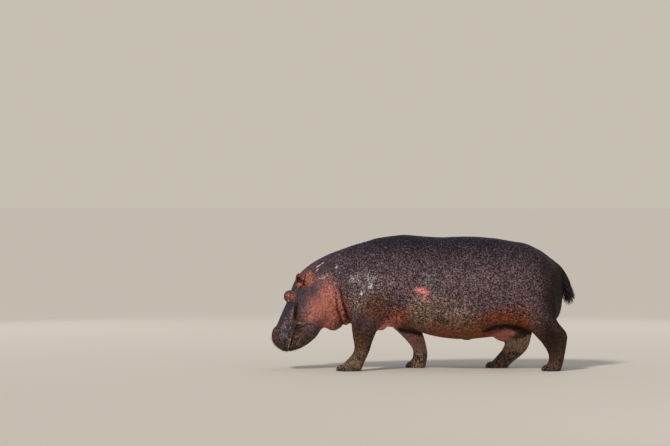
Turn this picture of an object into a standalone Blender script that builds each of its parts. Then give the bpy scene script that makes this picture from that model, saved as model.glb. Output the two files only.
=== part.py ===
"""A hippopotamus walking with its head lowered, life size, as a still museum model.

Run with: blender --background --python part.py

Metres, +Z up, and the animal faces -X, so its left side is -Y. The floor is z = 0.
The body is modelled whole: an axial loft from rump to muzzle, four limb lofts, a tail
and rounded masses for the muscles, fused by a voxel remesh. It is then parted with
thin cuts into head, lower jaw, neck, trunk, tail and legs. Ears, eyes and nails are
their own pieces, seated in the flesh.
"""

import math

import bmesh
import bpy
from mathutils import Matrix, Vector

# ---------------------------------------------------------------- driving dimensions
GAP = 0.0003  # between touching pieces
SHARP_ANGLE = math.radians(35.0)
FLOOR_BLOCK = Vector((6.0, 3.0, 0.2))  # the block that trims the soles flat

BODY_SIDES = 40  # vertices round each axial ring
BODY_RINGS_PER_SLICE = 3  # rings from one named slice to the next
LIMB_SIDES = 24
LIMB_RINGS_PER_STATION = 4
CUTTER_SIDES = 10  # the parting cuts are coarser than the limbs
TAIL_SIDES = 10
TAIL_RINGS_PER_STATION = 2

ROUGH_VOXEL = 0.022  # trunk and limbs, before the head and toes are added
TORSO_SMOOTHING = 22  # passes, enough to blend the muscles into the trunk
FINE_VOXEL = 0.011
BODY_SMOOTHING = 8  # passes, few enough to keep the toes
BODY_TRIANGLES = 3500

HEAD_ORIGIN = Vector((-1.15, 0.0, 0.98))  # behind the ears, inside the neck
HEAD_PITCH = math.radians(60.0)  # how steeply the lowered head points down

EYE_PLACE = (0.322, 0.164, 0.176)  # forward and dorsal in the head, and out to each side
EYE_RADIUS = 0.024

# The ears stand up and out from the back corners of the skull, hollow side outwards.
EAR_ROOT = Vector((-1.318, 0.160, 0.880))  # inside the skull; y is out to each side
EAR_AXIS = Vector((-0.10, 0.46, 0.88)).normalized()
EAR_FACING = Vector((-0.50, 0.86, -0.30)).normalized()
EAR_LENGTH = 0.172
EAR_SIDES = 12
EAR_RINGS_PER_STATION = 1
# Stations along an ear: (share of its length, half width, half thickness).
EAR = {
    "stalk": (0.0, 0.030, 0.030),
    "neck": (0.20, 0.031, 0.028),
    "cup": (0.42, 0.043, 0.026),
    "widest": (0.64, 0.049, 0.022),
    "shoulder": (0.84, 0.039, 0.016),
    "rim": (0.95, 0.022, 0.011),
    "tip": (1.0, 0.008, 0.006),
}
EAR_HOLLOW_PLACE = (0.66, 0.026)  # share of the length, and out from the ear's middle
EAR_HOLLOW_RADII = (0.060, 0.036, 0.031)  # along, across, deep

CREST_POWER = 1.5  # how late the narrowing by a slice's crest sets in
# The axial body as slices. Each is a cut through the body in the plane through its top
# and bottom points: (top x, top z, bottom x, bottom z, half width, squareness, waist,
# crest). Waist is the height of the widest level, as a share from bottom to top. Crest
# narrows the upper part: 0 leaves an ellipse.
SLICES = {
    "rump end": (1.522, 0.90, 1.512, 0.71, 0.08, 2.0, 0.50, 0.0),
    "pin bones": (1.498, 1.03, 1.482, 0.58, 0.21, 2.0, 0.52, 0.0),
    "buttocks": (1.43, 1.150, 1.41, 0.50, 0.315, 2.05, 0.50, 0.05),
    "tail head": (1.325, 1.258, 1.31, 0.46, 0.385, 2.1, 0.48, 0.10),
    "croup": (1.13, 1.360, 1.14, 0.425, 0.445, 2.15, 0.46, 0.14),
    "hips": (0.93, 1.395, 0.93, 0.375, 0.485, 2.2, 0.45, 0.14),
    "loin": (0.70, 1.430, 0.70, 0.345, 0.525, 2.2, 0.44, 0.12),
    "belly rear": (0.46, 1.440, 0.47, 0.325, 0.555, 2.2, 0.43, 0.10),
    "belly": (0.20, 1.428, 0.21, 0.343, 0.565, 2.2, 0.43, 0.10),
    "ribs": (-0.02, 1.445, -0.01, 0.396, 0.545, 2.15, 0.44, 0.12),
    "withers": (-0.22, 1.458, -0.20, 0.440, 0.505, 2.1, 0.44, 0.16),
    "shoulders": (-0.44, 1.432, -0.38, 0.462, 0.455, 2.1, 0.44, 0.20),
    "chest": (-0.64, 1.382, -0.56, 0.485, 0.410, 2.1, 0.44, 0.22),
    "neck root": (-0.85, 1.314, -0.70, 0.495, 0.370, 2.1, 0.44, 0.22),
    "neck": (-1.07, 1.224, -0.84, 0.485, 0.325, 2.1, 0.44, 0.20),
    "nape": (-1.215, 1.140, -0.97, 0.472, 0.285, 2.1, 0.44, 0.16),
    "poll": (-1.325, 1.045, -1.05, 0.472, 0.255, 2.2, 0.45, 0.12),
    "ears": (-1.385, 0.955, -1.085, 0.438, 0.243, 2.3, 0.46, 0.12),
    "brow": (-1.420, 0.865, -1.112, 0.395, 0.235, 2.4, 0.45, 0.18),
    "eyes": (-1.450, 0.780, -1.145, 0.350, 0.220, 2.4, 0.42, 0.26),
    "cheeks": (-1.487, 0.695, -1.185, 0.308, 0.190, 2.3, 0.40, 0.34),
    "snout": (-1.532, 0.600, -1.230, 0.272, 0.160, 2.3, 0.40, 0.30),
    "lip root": (-1.568, 0.505, -1.280, 0.242, 0.156, 2.4, 0.42, 0.22),
    "nose": (-1.600, 0.435, -1.335, 0.218, 0.176, 2.5, 0.48, 0.10),
    "nostrils": (-1.630, 0.385, -1.395, 0.200, 0.196, 2.6, 0.50, 0.04),
    "muzzle": (-1.637, 0.335, -1.445, 0.189, 0.192, 2.6, 0.50, 0.0),
    "lips": (-1.614, 0.288, -1.490, 0.190, 0.165, 2.6, 0.50, 0.0),
    "muzzle end": (-1.583, 0.250, -1.530, 0.213, 0.10, 2.4, 0.50, 0.0),
}

# The limbs as stations down the leg: (x, y, z, half length, half width, squareness).
# The animal walks: left fore and right hind are forward, the others push off.
FORE_LEFT = {
    "shoulder blade": (-0.47, -0.300, 0.93, 0.200, 0.110, 2.0),
    "shoulder": (-0.53, -0.315, 0.74, 0.205, 0.135, 2.0),
    "elbow": (-0.598, -0.318, 0.55, 0.178, 0.130, 2.0),
    "forearm": (-0.638, -0.312, 0.38, 0.124, 0.105, 2.1),
    "above wrist": (-0.643, -0.306, 0.27, 0.097, 0.090, 2.1),
    "wrist": (-0.654, -0.303, 0.215, 0.090, 0.085, 2.1),
    "pastern": (-0.680, -0.302, 0.165, 0.096, 0.089, 2.1),
    "instep": (-0.719, -0.302, 0.115, 0.110, 0.098, 2.1),
    "foot": (-0.758, -0.302, 0.065, 0.122, 0.108, 2.1),
    "pad": (-0.775, -0.302, 0.020, 0.122, 0.112, 2.2),
    "sole": (-0.775, -0.302, -0.030, 0.116, 0.106, 2.2),
}
FORE_RIGHT = {
    "shoulder blade": (-0.43, 0.300, 0.93, 0.200, 0.110, 2.0),
    "shoulder": (-0.38, 0.315, 0.74, 0.205, 0.135, 2.0),
    "elbow": (-0.262, 0.318, 0.54, 0.175, 0.130, 2.0),
    "forearm": (-0.126, 0.312, 0.39, 0.138, 0.105, 2.1),
    "above wrist": (-0.061, 0.306, 0.290, 0.107, 0.090, 2.1),
    "wrist": (-0.024, 0.303, 0.220, 0.087, 0.085, 2.1),
    "pastern": (-0.009, 0.302, 0.165, 0.081, 0.086, 2.1),
    "instep": (-0.016, 0.302, 0.110, 0.086, 0.093, 2.1),
    "foot": (-0.040, 0.302, 0.062, 0.094, 0.104, 2.1),
    "pad": (-0.052, 0.302, 0.020, 0.103, 0.108, 2.2),
    "sole": (-0.052, 0.302, -0.030, 0.098, 0.103, 2.2),
}
HIND_RIGHT = {
    "hip": (1.04, 0.270, 0.92, 0.210, 0.120, 2.0),
    "thigh": (1.06, 0.300, 0.72, 0.215, 0.145, 2.0),
    "knee": (1.075, 0.310, 0.52, 0.180, 0.130, 2.0),
    "shank": (1.066, 0.305, 0.37, 0.140, 0.100, 2.1),
    "hock": (1.044, 0.300, 0.270, 0.144, 0.082, 2.1),
    "cannon": (1.008, 0.297, 0.190, 0.146, 0.080, 2.1),
    "instep": (0.938, 0.295, 0.118, 0.140, 0.085, 2.1),
    "foot": (0.872, 0.295, 0.060, 0.122, 0.093, 2.1),
    "pad": (0.840, 0.295, 0.015, 0.106, 0.096, 2.2),
    "sole": (0.840, 0.295, -0.030, 0.100, 0.092, 2.2),
}
HIND_LEFT = {
    "hip": (1.16, -0.270, 0.92, 0.210, 0.120, 2.0),
    "thigh": (1.22, -0.300, 0.72, 0.225, 0.145, 2.0),
    "knee": (1.255, -0.308, 0.56, 0.190, 0.130, 2.0),
    "ham": (1.300, -0.306, 0.485, 0.190, 0.116, 2.0),
    "shank": (1.362, -0.304, 0.410, 0.196, 0.102, 2.1),
    "hock": (1.410, -0.300, 0.310, 0.150, 0.084, 2.1),
    "cannon": (1.434, -0.297, 0.215, 0.108, 0.077, 2.1),
    "pastern": (1.440, -0.295, 0.150, 0.090, 0.078, 2.1),
    "instep": (1.430, -0.295, 0.095, 0.088, 0.086, 2.1),
    "foot": (1.412, -0.295, 0.050, 0.090, 0.094, 2.1),
    "pad": (1.402, -0.295, 0.015, 0.092, 0.098, 2.2),
    "sole": (1.402, -0.295, -0.030, 0.088, 0.094, 2.2),
}
LIMBS = {
    "foreleg_left": FORE_LEFT,
    "foreleg_right": FORE_RIGHT,
    "hindleg_left": HIND_LEFT,
    "hindleg_right": HIND_RIGHT,
}

# The tail: (x, z, half depth in side view, half thickness).
TAIL = {
    "root": (1.335, 1.140, 0.086, 0.085),
    "bend": (1.442, 1.078, 0.070, 0.060),
    "middle": (1.528, 0.972, 0.055, 0.042),
    "flat": (1.574, 0.872, 0.049, 0.028),
    "tuft": (1.586, 0.790, 0.046, 0.020),
    "tip": (1.578, 0.700, 0.026, 0.010),
}

# Toes fan out from the middle of each pad: (angle from straight ahead, share of the reach).
TOES = {
    "inner": (-46.0, 0.86),
    "inner_middle": (-15.0, 1.0),
    "outer_middle": (15.0, 1.0),
    "outer": (46.0, 0.86),
}
TOE_RADII = (0.062, 0.038, 0.032)
TOE_HEIGHT = 0.025
TOE_TILT = math.radians(14.0)  # tips down
NAIL_RADII = (0.020, 0.028, 0.021)
NAIL_SET_BACK = 0.024  # from the tip of its toe to the middle of the nail
NAIL_LIFT = 0.0025  # the nails' clearance from the floor
# For each foot, how far its middle toes reach ahead of the pad's middle.
TOE_REACH = {
    "foreleg_left": 0.168,
    "foreleg_right": 0.136,
    "hindleg_left": 0.140,
    "hindleg_right": 0.160,
}

# Rounded masses of the head: (forward, dorsal, side, radii along those, tilt in degrees).
HEAD_MASSES = {
    "orbit": (0.308, 0.148, 0.142, (0.064, 0.074, 0.052), 0.0),
    "orbit_root": (0.290, 0.086, 0.140, (0.112, 0.080, 0.074), 0.0),
    "brow_ridge": (0.180, 0.092, 0.128, (0.140, 0.066, 0.076), -6.0),
    "cheek_bone": (0.270, -0.010, 0.150, (0.170, 0.100, 0.080), 4.0),
    "jaw_muscle": (0.310, -0.150, 0.154, (0.190, 0.150, 0.100), -14.0),
    "snout_ridge": (0.520, 0.076, 0.050, (0.220, 0.044, 0.062), 1.0),
    "lip_pad": (0.722, -0.018, 0.106, (0.118, 0.112, 0.100), -8.0),
    "lip_front": (0.782, -0.040, 0.070, (0.068, 0.110, 0.110), -10.0),
    "nostril": (0.718, 0.084, 0.078, (0.074, 0.042, 0.050), 6.0),
    "chin": (0.690, -0.180, 0.070, (0.110, 0.066, 0.098), -30.0),
    "jaw_side": (0.540, -0.170, 0.100, (0.170, 0.085, 0.080), -28.0),
}
# Rounded masses of throat and body: (x, y, z, radii, pitch in degrees).
BODY_MASSES = {
    "jowl": (-0.955, 0.0, 0.512, (0.085, 0.200, 0.104), 12.0),
    "throat_fold": (-0.820, 0.0, 0.560, (0.060, 0.210, 0.085), 20.0),
    "shoulder_left": (-0.46, -0.300, 0.84, (0.220, 0.140, 0.320), -10.0),
    "shoulder_right": (-0.46, 0.300, 0.84, (0.220, 0.140, 0.320), -10.0),
    "elbow_fold": (-0.475, -0.240, 0.490, (0.110, 0.080, 0.058), 20.0),
    "flank_fold_right": (0.860, 0.195, 0.395, (0.135, 0.105, 0.105), 35.0),
    "flank_fold_left": (1.030, -0.195, 0.430, (0.120, 0.100, 0.090), 35.0),
    "thigh_left": (1.19, -0.290, 0.82, (0.235, 0.155, 0.330), -14.0),
    "thigh_right": (1.08, 0.295, 0.80, (0.235, 0.155, 0.330), 4.0),
}

CUTTER_OUTER_REACH = 0.5  # how far a leg's cutter runs out past the leg's middle
CUTTER_MARGIN = 0.045  # how far a leg's cutter stands off the leg, and twice that at the sole
CUTTER_CROWN = 0.6  # how long a cutter's top is, as a share of the ring below
CUTTER_RISE = 1.5  # how high its top stands over that ring, as a share of the margin
# Where the axial body is parted: (top x, top z, bottom x, bottom z).
HEAD_CUT = (-1.299, 1.7, -1.003, 0.1)
NECK_CUT = (-0.783, 1.7, -0.717, 0.1)
FAR_FRONT = (-2.2, 1.7, -2.2, 0.1)
FAR_BACK = (2.2, 1.7, 2.2, 0.1)
# The jaw's cut, forward and dorsal in the head: along the mouth, then down behind the jaw.
JAW_HINGE = (0.500, -0.105)
JAW_FRONT = (0.840, -0.128)
JAW_HEEL = (0.400, -0.480)
JAW_BEYOND = 0.4  # how far the jaw's block runs out past the flesh
JAW_DEPTH = 2.0  # its depth, as a share of the way from hinge to heel
CUT_REACH = 0.9  # half width of the blocks that part the body

MATERIALS = {  # base colour (linear), roughness
    "hide": ((0.085, 0.052, 0.048), 0.45),
    "ear_skin": ((0.30, 0.075, 0.05), 0.5),
    "eye": ((0.012, 0.007, 0.005), 0.08),
    "nail": ((0.018, 0.014, 0.012), 0.3),
}


# ---------------------------------------------------------------- building blocks
def material(name):
    """A Principled material from MATERIALS, made once."""
    if name in bpy.data.materials:
        return bpy.data.materials[name]
    colour, roughness = MATERIALS[name]
    made = bpy.data.materials.new(name)
    made.use_nodes = True
    shader = made.node_tree.nodes["Principled BSDF"]
    shader.inputs["Base Color"].default_value = (*colour, 1.0)
    shader.inputs["Roughness"].default_value = roughness
    shader.inputs["Metallic"].default_value = 0.0
    return made


def place(name, mesh, helper=False):
    """Links a mesh to the scene as an object; a helper isn't part of the model."""
    made = bpy.data.objects.new(name, mesh)
    bpy.context.scene.collection.objects.link(made)
    if helper:
        made.hide_render = True
        made.display_type = "WIRE"
    return made


def finish(name, bm, helper=True):
    """Turns a bmesh into an object with its faces pointing out."""
    bmesh.ops.recalc_face_normals(bm, faces=bm.faces)
    mesh = bpy.data.meshes.new(name)
    bm.to_mesh(mesh)
    bm.free()
    return place(name, mesh, helper)


def settled(obj):
    """A new mesh of the object with its modifiers applied."""
    bpy.context.view_layer.update()
    graph = bpy.context.evaluated_depsgraph_get()
    return bpy.data.meshes.new_from_object(obj.evaluated_get(graph))


def flowing(stations, steps):
    """Rows of numbers on a Catmull-Rom curve through the stations, steps to a span."""
    rows = [tuple(row) for row in stations]
    padded = [rows[0], *rows, rows[-1]]
    found = []
    for i in range(1, len(rows)):
        before, start, end, after = padded[i - 1 : i + 3]
        for step in range(steps):
            t = step / steps
            found.append(
                tuple(
                    0.5 * (2 * b + (c - a) * t + (2 * a - 5 * b + 4 * c - d) * t * t
                           + (3 * b - a - 3 * c + d) * t * t * t)
                    for a, b, c, d in zip(before, start, end, after)
                )
            )
    return found + [rows[-1]]


def signed_power(value, power):
    return math.copysign(abs(value) ** power, value)


def loft(name, rings):
    """A closed body through rings, each a list of as many points."""
    bm = bmesh.new()
    loops = []
    for number, points in enumerate(rings):
        made = bmesh.ops.create_circle(
            bm,
            cap_ends=number in (0, len(rings) - 1),
            segments=len(points),
            radius=1.0,
        )["verts"]
        for vertex, point in zip(made, points):
            vertex.co = point
        loops.append(made)
    for below, above in zip(loops, loops[1:]):
        for i in range(len(below)):
            j = (i + 1) % len(below)
            bm.faces.new((below[i], below[j], above[j], above[i]))
    bmesh.ops.triangulate(bm, faces=bm.faces)  # so that a piece and its seat bend alike
    return finish(name, bm)


def slice_ring(top_x, top_z, bottom_x, bottom_z, half_width, squareness, waist, crest):
    """One ring of the axial body, in the plane through its top and bottom points."""
    bottom = Vector((bottom_x, 0.0, bottom_z))
    up = Vector((top_x, 0.0, top_z)) - bottom
    height = up.length
    up.normalize()
    centre = bottom + up * height * waist
    points = []
    for i in range(BODY_SIDES):
        angle = math.tau * i / BODY_SIDES
        across = signed_power(math.cos(angle), 2.0 / squareness)
        rise = signed_power(math.sin(angle), 2.0 / squareness)
        reach = height * (1.0 - waist) if rise > 0 else height * waist
        across *= half_width * (1.0 - crest * max(rise, 0.0) ** CREST_POWER)
        points.append(centre + up * (rise * reach) + Vector((0.0, across, 0.0)))
    return points


def axial_body():
    rows = flowing(SLICES.values(), BODY_RINGS_PER_SLICE)
    return loft("axial_body", [slice_ring(*row) for row in rows])


def level_ring(x, y, z, half_length, half_width, squareness, sides, outer_reach=0.0):
    """A level ring round a limb. An outer reach carries its outer side that far out."""
    outward = math.copysign(1.0, y)
    ring = []
    for i in range(sides):
        angle = math.tau * (i + 0.5) / sides
        along = signed_power(math.cos(angle), 2.0 / squareness) * half_length
        across = signed_power(math.sin(angle), 2.0 / squareness) * half_width
        if outer_reach and across * outward > 0:
            across = outward * outer_reach
        ring.append(Vector((x + along, y + across, z)))
    return ring


def limb(name, stations):
    """A leg as a loft of level rings."""
    rows = flowing(stations.values(), LIMB_RINGS_PER_STATION)
    return loft(name, [level_ring(*row, LIMB_SIDES) for row in rows])


def limb_cutter(name, stations, margin):
    """The block that frees a leg. It stands off the leg, twice as far at the sole, and runs
    outwards past the flank."""
    rows = list(stations.values())
    rows = rows[:-1:2] + rows[-1:]
    rings = []
    for number, (x, y, z, half_length, half_width, squareness) in enumerate(rows):
        stand_off = margin * (1.0 + number / (len(rows) - 1))
        sizes = (half_length + stand_off, half_width + stand_off, squareness)
        rings.append(level_ring(x, y, z, *sizes, CUTTER_SIDES, CUTTER_OUTER_REACH))
    crown = shrunk(rings[0], CUTTER_CROWN)
    rings.insert(0, [point + Vector((0.0, 0.0, CUTTER_RISE * margin)) for point in crown])
    rings.append([point - Vector((0.0, 0.0, FLOOR_BLOCK.z)) for point in rings[-1]])
    return loft(name, rings)


def shrunk(ring, share):
    """The ring drawn in along the body towards its middle."""
    middle = sum(point.x for point in ring) / len(ring)
    return [Vector((middle + (point.x - middle) * share, point.y, point.z)) for point in ring]


def ellipsoid(name, centre, radii, turn=None, fineness=4):
    """A rounded mass, turned by a rotation matrix."""
    bm = bmesh.new()
    bmesh.ops.create_icosphere(bm, subdivisions=fineness, radius=1.0)
    bmesh.ops.scale(bm, vec=radii, verts=bm.verts)
    bmesh.ops.transform(bm, matrix=turn or Matrix.Identity(4), verts=bm.verts)
    bmesh.ops.translate(bm, vec=centre, verts=bm.verts)
    return finish(name, bm)


def head_frame():
    """The head's directions as columns: forward along the muzzle, side, dorsal."""
    forward = Vector((-math.cos(HEAD_PITCH), 0.0, -math.sin(HEAD_PITCH)))
    dorsal = Vector((-math.sin(HEAD_PITCH), 0.0, math.cos(HEAD_PITCH)))
    side = dorsal.cross(forward)
    frame = Matrix((forward, side, dorsal)).transposed()
    return frame.to_4x4()


def head_point(forward, dorsal, side=0.0):
    """A place on the head in the model's frame."""
    spot = HEAD_ORIGIN + head_frame().to_3x3() @ Vector((forward, 0.0, dorsal))
    spot.y = side
    return spot


def head_masses():
    made = []
    for name, (forward, dorsal, side, radii, tilt) in HEAD_MASSES.items():
        turn = head_frame() @ Matrix.Rotation(math.radians(tilt), 4, "Y")
        size = (radii[0], radii[2], radii[1])
        for sign in (-1, 1):
            centre = head_point(forward, dorsal, sign * side)
            made.append(ellipsoid(f"{name}{sign:+d}", centre, size, turn))
    return made


def body_masses():
    made = []
    for name, (x, y, z, radii, pitch) in BODY_MASSES.items():
        turn = Matrix.Rotation(math.radians(pitch), 4, "Y")
        made.append(ellipsoid(name, Vector((x, y, z)), radii, turn))
    return made


def tail_shape():
    rings = []
    rows = flowing(TAIL.values(), TAIL_RINGS_PER_STATION)
    for i, (x, z, depth, thickness) in enumerate(rows):
        ahead, behind = rows[min(i + 1, len(rows) - 1)], rows[max(i - 1, 0)]
        along = Vector((ahead[0] - behind[0], 0.0, ahead[1] - behind[1])).normalized()
        outward = Vector((-along.z, 0.0, along.x))
        ring = []
        for k in range(TAIL_SIDES):
            angle = math.tau * k / TAIL_SIDES
            ring.append(
                Vector((x, 0.0, z))
                + outward * (math.cos(angle) * depth)
                + Vector((0.0, math.sin(angle) * thickness, 0.0))
            )
        rings.append(ring)
    return loft("tail", rings)


def toe_place(leg, toe):
    """Where a toe's tip points: (its angle about +Z, its reach, the pad's middle)."""
    angle, share = TOES[toe]
    x, y = LIMBS[leg]["pad"][:2]
    outward = math.copysign(1.0, y)  # the outer toes are on the side away from the body
    heading = math.pi - math.radians(angle) * outward
    return heading, TOE_REACH[leg] * share, Vector((x, y, 0.0))


def toes():
    made = []
    for leg in LIMBS:
        for toe in TOES:
            heading, reach, middle = toe_place(leg, toe)
            along = Vector((math.cos(heading), math.sin(heading), 0.0))
            turn = Matrix.Rotation(heading, 4, "Z") @ Matrix.Rotation(TOE_TILT, 4, "Y")
            centre = middle + along * (reach - TOE_RADII[0]) + Vector((0.0, 0.0, TOE_HEIGHT))
            made.append(ellipsoid(f"{leg}_{toe}_toe", centre, TOE_RADII, turn))
    return made


def fused(name, objects, voxel, smoothing):
    """One skin over overlapping objects: a voxel remesh, then smoothing."""
    bm = bmesh.new()
    for obj in objects:
        bm.from_mesh(obj.data)
    whole = finish(name + "_joined", bm)
    remesh = whole.modifiers.new("one skin", "REMESH")
    remesh.mode = "VOXEL"
    remesh.voxel_size = voxel
    smooth = whole.modifiers.new("smooth", "SMOOTH")
    smooth.factor = 0.5
    smooth.iterations = smoothing
    return place(name, settled(whole), helper=True)


def whole_body():
    """The animal in one piece, with its soles trimmed flat at the floor."""
    limbs = [limb(name + "_shape", stations) for name, stations in LIMBS.items()]
    torso = fused(
        "torso",
        [axial_body(), *limbs, *body_masses()],
        ROUGH_VOXEL,
        TORSO_SMOOTHING,
    )
    body = fused("body", [torso, *head_masses(), *toes()], FINE_VOXEL, BODY_SMOOTHING)
    thin = body.modifiers.new("facets", "DECIMATE")
    thin.ratio = BODY_TRIANGLES / (2.0 * len(body.data.polygons))
    whole = place("whole", settled(body), helper=True)
    floor = bmesh.new()
    bmesh.ops.create_cube(floor, size=1.0)
    bmesh.ops.scale(floor, vec=FLOOR_BLOCK, verts=floor.verts)
    bmesh.ops.translate(floor, vec=(0.0, 0.0, -FLOOR_BLOCK.z / 2), verts=floor.verts)
    return cut(whole, finish("floor_block", floor), "DIFFERENCE", "trimmed")


def cut(obj, cutter, operation, name):
    """The object cut by, or limited to, the cutter, as a new helper."""
    boolean = obj.modifiers.new("cut", "BOOLEAN")
    boolean.operation = operation
    boolean.object = cutter
    boolean.solver = "EXACT"
    made = place(name, settled(obj), helper=True)
    obj.modifiers.remove(boolean)
    return made


def prism(name, outline, shift):
    """A block across the whole body, from its outline of (x, z) points, moved by shift."""
    bm = bmesh.new()
    corners = [bm.verts.new((x, -CUT_REACH, z)) for x, z in outline]
    face = bm.faces.new(corners)
    far_side = bmesh.ops.extrude_face_region(bm, geom=[face])["geom"]
    moved = [element for element in far_side if isinstance(element, bmesh.types.BMVert)]
    bmesh.ops.translate(bm, vec=(0.0, 2 * CUT_REACH, 0.0), verts=moved)
    bmesh.ops.translate(bm, vec=shift, verts=bm.verts)
    return finish(name, bm)


def between(body, name, front, back):
    """The stretch of the axial body from one cut to the next, half a gap short of each."""
    ahead = prism(name + "_ahead", cut_outline(FAR_FRONT, front), Vector((GAP / 2, 0.0, 0.0)))
    behind = prism(name + "_behind", cut_outline(back, FAR_BACK), Vector((-GAP / 2, 0.0, 0.0)))
    if front is not FAR_FRONT:
        body = cut(body, ahead, "DIFFERENCE", name)
    if back is not FAR_BACK:
        body = cut(body, behind, "DIFFERENCE", name)
    return body


def cut_outline(front, back):
    """The (x, z) corners between two cuts, each given by its top and bottom points."""
    return [front[:2], back[:2], back[2:], front[2:]]


def jaw_outline():
    """The (x, z) corners of the block that holds the lower jaw."""
    hinge, front, heel = (Vector(spot) for spot in (JAW_HINGE, JAW_FRONT, JAW_HEEL))
    far_front = front + (front - hinge).normalized() * JAW_BEYOND
    far_heel = heel + (heel - hinge).normalized() * JAW_BEYOND
    corners = [hinge, far_front, far_front + (heel - hinge) * JAW_DEPTH, far_heel]
    return [tuple(head_point(*corner).xz) for corner in corners]


def jaw_shift(distance):
    """The move that takes both faces of the jaw's block outwards by the distance."""
    hinge, front, heel = (head_point(*spot) for spot in (JAW_HINGE, JAW_FRONT, JAW_HEEL))
    along_mouth = (front - hinge).normalized()
    down_heel = (heel - hinge).normalized()
    apart = math.acos(along_mouth.dot(down_heel))
    inwards = (along_mouth + down_heel).normalized()
    return -inwards * (distance / math.sin(apart / 2))


def inflated(obj, distance):
    """A helper copy of the object with its surface moved outwards."""
    grown = place(obj.name + "_seat", obj.data.copy(), helper=True)
    grow = grown.modifiers.new("grow", "DISPLACE")
    grow.mid_level = 0.0
    grow.strength = distance
    return grown


def seated(host, guest):
    """The host with a seat cut in it for the guest."""
    return cut(host, inflated(guest, GAP), "DIFFERENCE", host.name)


def eye(sign):
    forward, dorsal, side = EYE_PLACE
    radii = (EYE_RADIUS,) * 3
    return ellipsoid("eye", head_point(forward, dorsal, sign * side), radii, fineness=3)


def ear_frame(sign):
    """The ear's directions as columns: along it, across it, and out of its hollow."""
    mirror = Vector((1.0, sign, 1.0))
    axis = EAR_AXIS * mirror
    facing = EAR_FACING * mirror
    facing = (facing - axis * facing.dot(axis)).normalized()
    return Matrix((axis, axis.cross(facing), facing)).transposed()


def ear(sign):
    """A short rounded ear on a thick stalk, scooped out on its outer side, and the form
    that it was scooped from."""
    frame = ear_frame(sign)
    root = EAR_ROOT * Vector((1.0, sign, 1.0))
    rings = []
    for share, half_width, half_thickness in flowing(EAR.values(), EAR_RINGS_PER_STATION):
        ring = []
        for i in range(EAR_SIDES):
            angle = math.tau * i / EAR_SIDES
            across = math.cos(angle) * half_width
            out = math.sin(angle) * half_thickness
            ring.append(root + frame @ Vector((share * EAR_LENGTH, across, out)))
        rings.append(ring)
    along, out = EAR_HOLLOW_PLACE
    hollow = ellipsoid(
        "ear_hollow",
        root + frame @ Vector((along * EAR_LENGTH, 0.0, out)),
        EAR_HOLLOW_RADII,
        frame.to_4x4(),
        fineness=2,
    )
    whole = loft("ear_solid", rings)
    return cut(whole, hollow, "DIFFERENCE", "ear"), whole


def nail(leg, toe):
    """A low rounded nail at the tip of a toe, just clear of the floor."""
    heading, reach, middle = toe_place(leg, toe)
    along = Vector((math.cos(heading), math.sin(heading), 0.0))
    centre = middle + along * (reach - NAIL_SET_BACK)
    centre.z = NAIL_RADII[2] + NAIL_LIFT
    turn = Matrix.Rotation(heading, 4, "Z")
    return ellipsoid(f"{leg}_nail_{toe}", centre, NAIL_RADII, turn, fineness=2)


def drop_slivers(obj):
    """Keeps the piece's largest connected body, without the slivers that a cut leaves loose."""
    bm = bmesh.new()
    bm.from_mesh(obj.data)
    waiting = set(bm.verts)
    largest = set()
    while waiting:
        edge_of_growth = [waiting.pop()]
        found = set(edge_of_growth)
        while edge_of_growth:
            for link in edge_of_growth.pop().link_edges:
                for vertex in link.verts:
                    if vertex in waiting:
                        waiting.remove(vertex)
                        found.add(vertex)
                        edge_of_growth.append(vertex)
        largest = max(largest, found, key=len)
    loose = [vertex for vertex in bm.verts if vertex not in largest]
    bmesh.ops.delete(bm, geom=loose, context="VERTS")
    bm.to_mesh(obj.data)
    bm.free()


def part_body(body):
    """The body parted into its named pieces of flesh."""
    flesh = {}
    for name, stations in LIMBS.items():
        inside = limb_cutter(name + "_cutter", stations, CUTTER_MARGIN - GAP / 2)
        outside = limb_cutter(name + "_socket", stations, CUTTER_MARGIN + GAP / 2)
        flesh[name] = cut(body, inside, "INTERSECT", name)
        body = cut(body, outside, "DIFFERENCE", "axial_rest")
    flesh["trunk"] = between(body, "trunk", NECK_CUT, FAR_BACK)
    flesh["neck"] = between(body, "neck", HEAD_CUT, NECK_CUT)
    head = between(body, "head", FAR_FRONT, HEAD_CUT)
    outline = jaw_outline()
    jaw_block = prism("jaw_block", outline, jaw_shift(-GAP / 2))
    jaw_seat = prism("jaw_seat", outline, jaw_shift(GAP / 2))
    flesh["lower_jaw"] = cut(head, jaw_block, "INTERSECT", "lower_jaw")
    flesh["head"] = cut(head, jaw_seat, "DIFFERENCE", "head")
    return flesh


def seat_pieces(flesh):
    """Adds tail, ears, eyes and nails, each in a seat of its own in the flesh."""
    pieces = {"tail": (tail_shape(), "hide")}
    seats = [("trunk", pieces["tail"][0])]
    for side, sign in (("left", -1), ("right", 1)):
        scooped, whole = ear(sign)
        pieces["ear_" + side] = (scooped, "ear_skin")
        pieces["eye_" + side] = (eye(sign), "eye")
        seats += [("head", whole), ("head", pieces["eye_" + side][0])]
    for leg in LIMBS:
        for toe in TOES:
            name = f"{leg}_nail_{toe}"
            pieces[name] = (nail(leg, toe), "nail")
            seats.append((leg, pieces[name][0]))
    for host, guest in seats:
        flesh[host] = seated(flesh[host], guest)
    for obj in flesh.values():
        drop_slivers(obj)
    return pieces


def show(obj, name, material_name, shift):
    """Makes a helper a finished piece of the model, in its final place."""
    obj.name = name
    obj.data.transform(Matrix.Translation(shift))
    obj.data.materials.clear()
    obj.data.materials.append(material(material_name))
    obj.data.shade_smooth()
    obj.data.set_sharp_from_angle(angle=SHARP_ANGLE)
    obj.hide_render = False
    obj.display_type = "TEXTURED"


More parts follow.
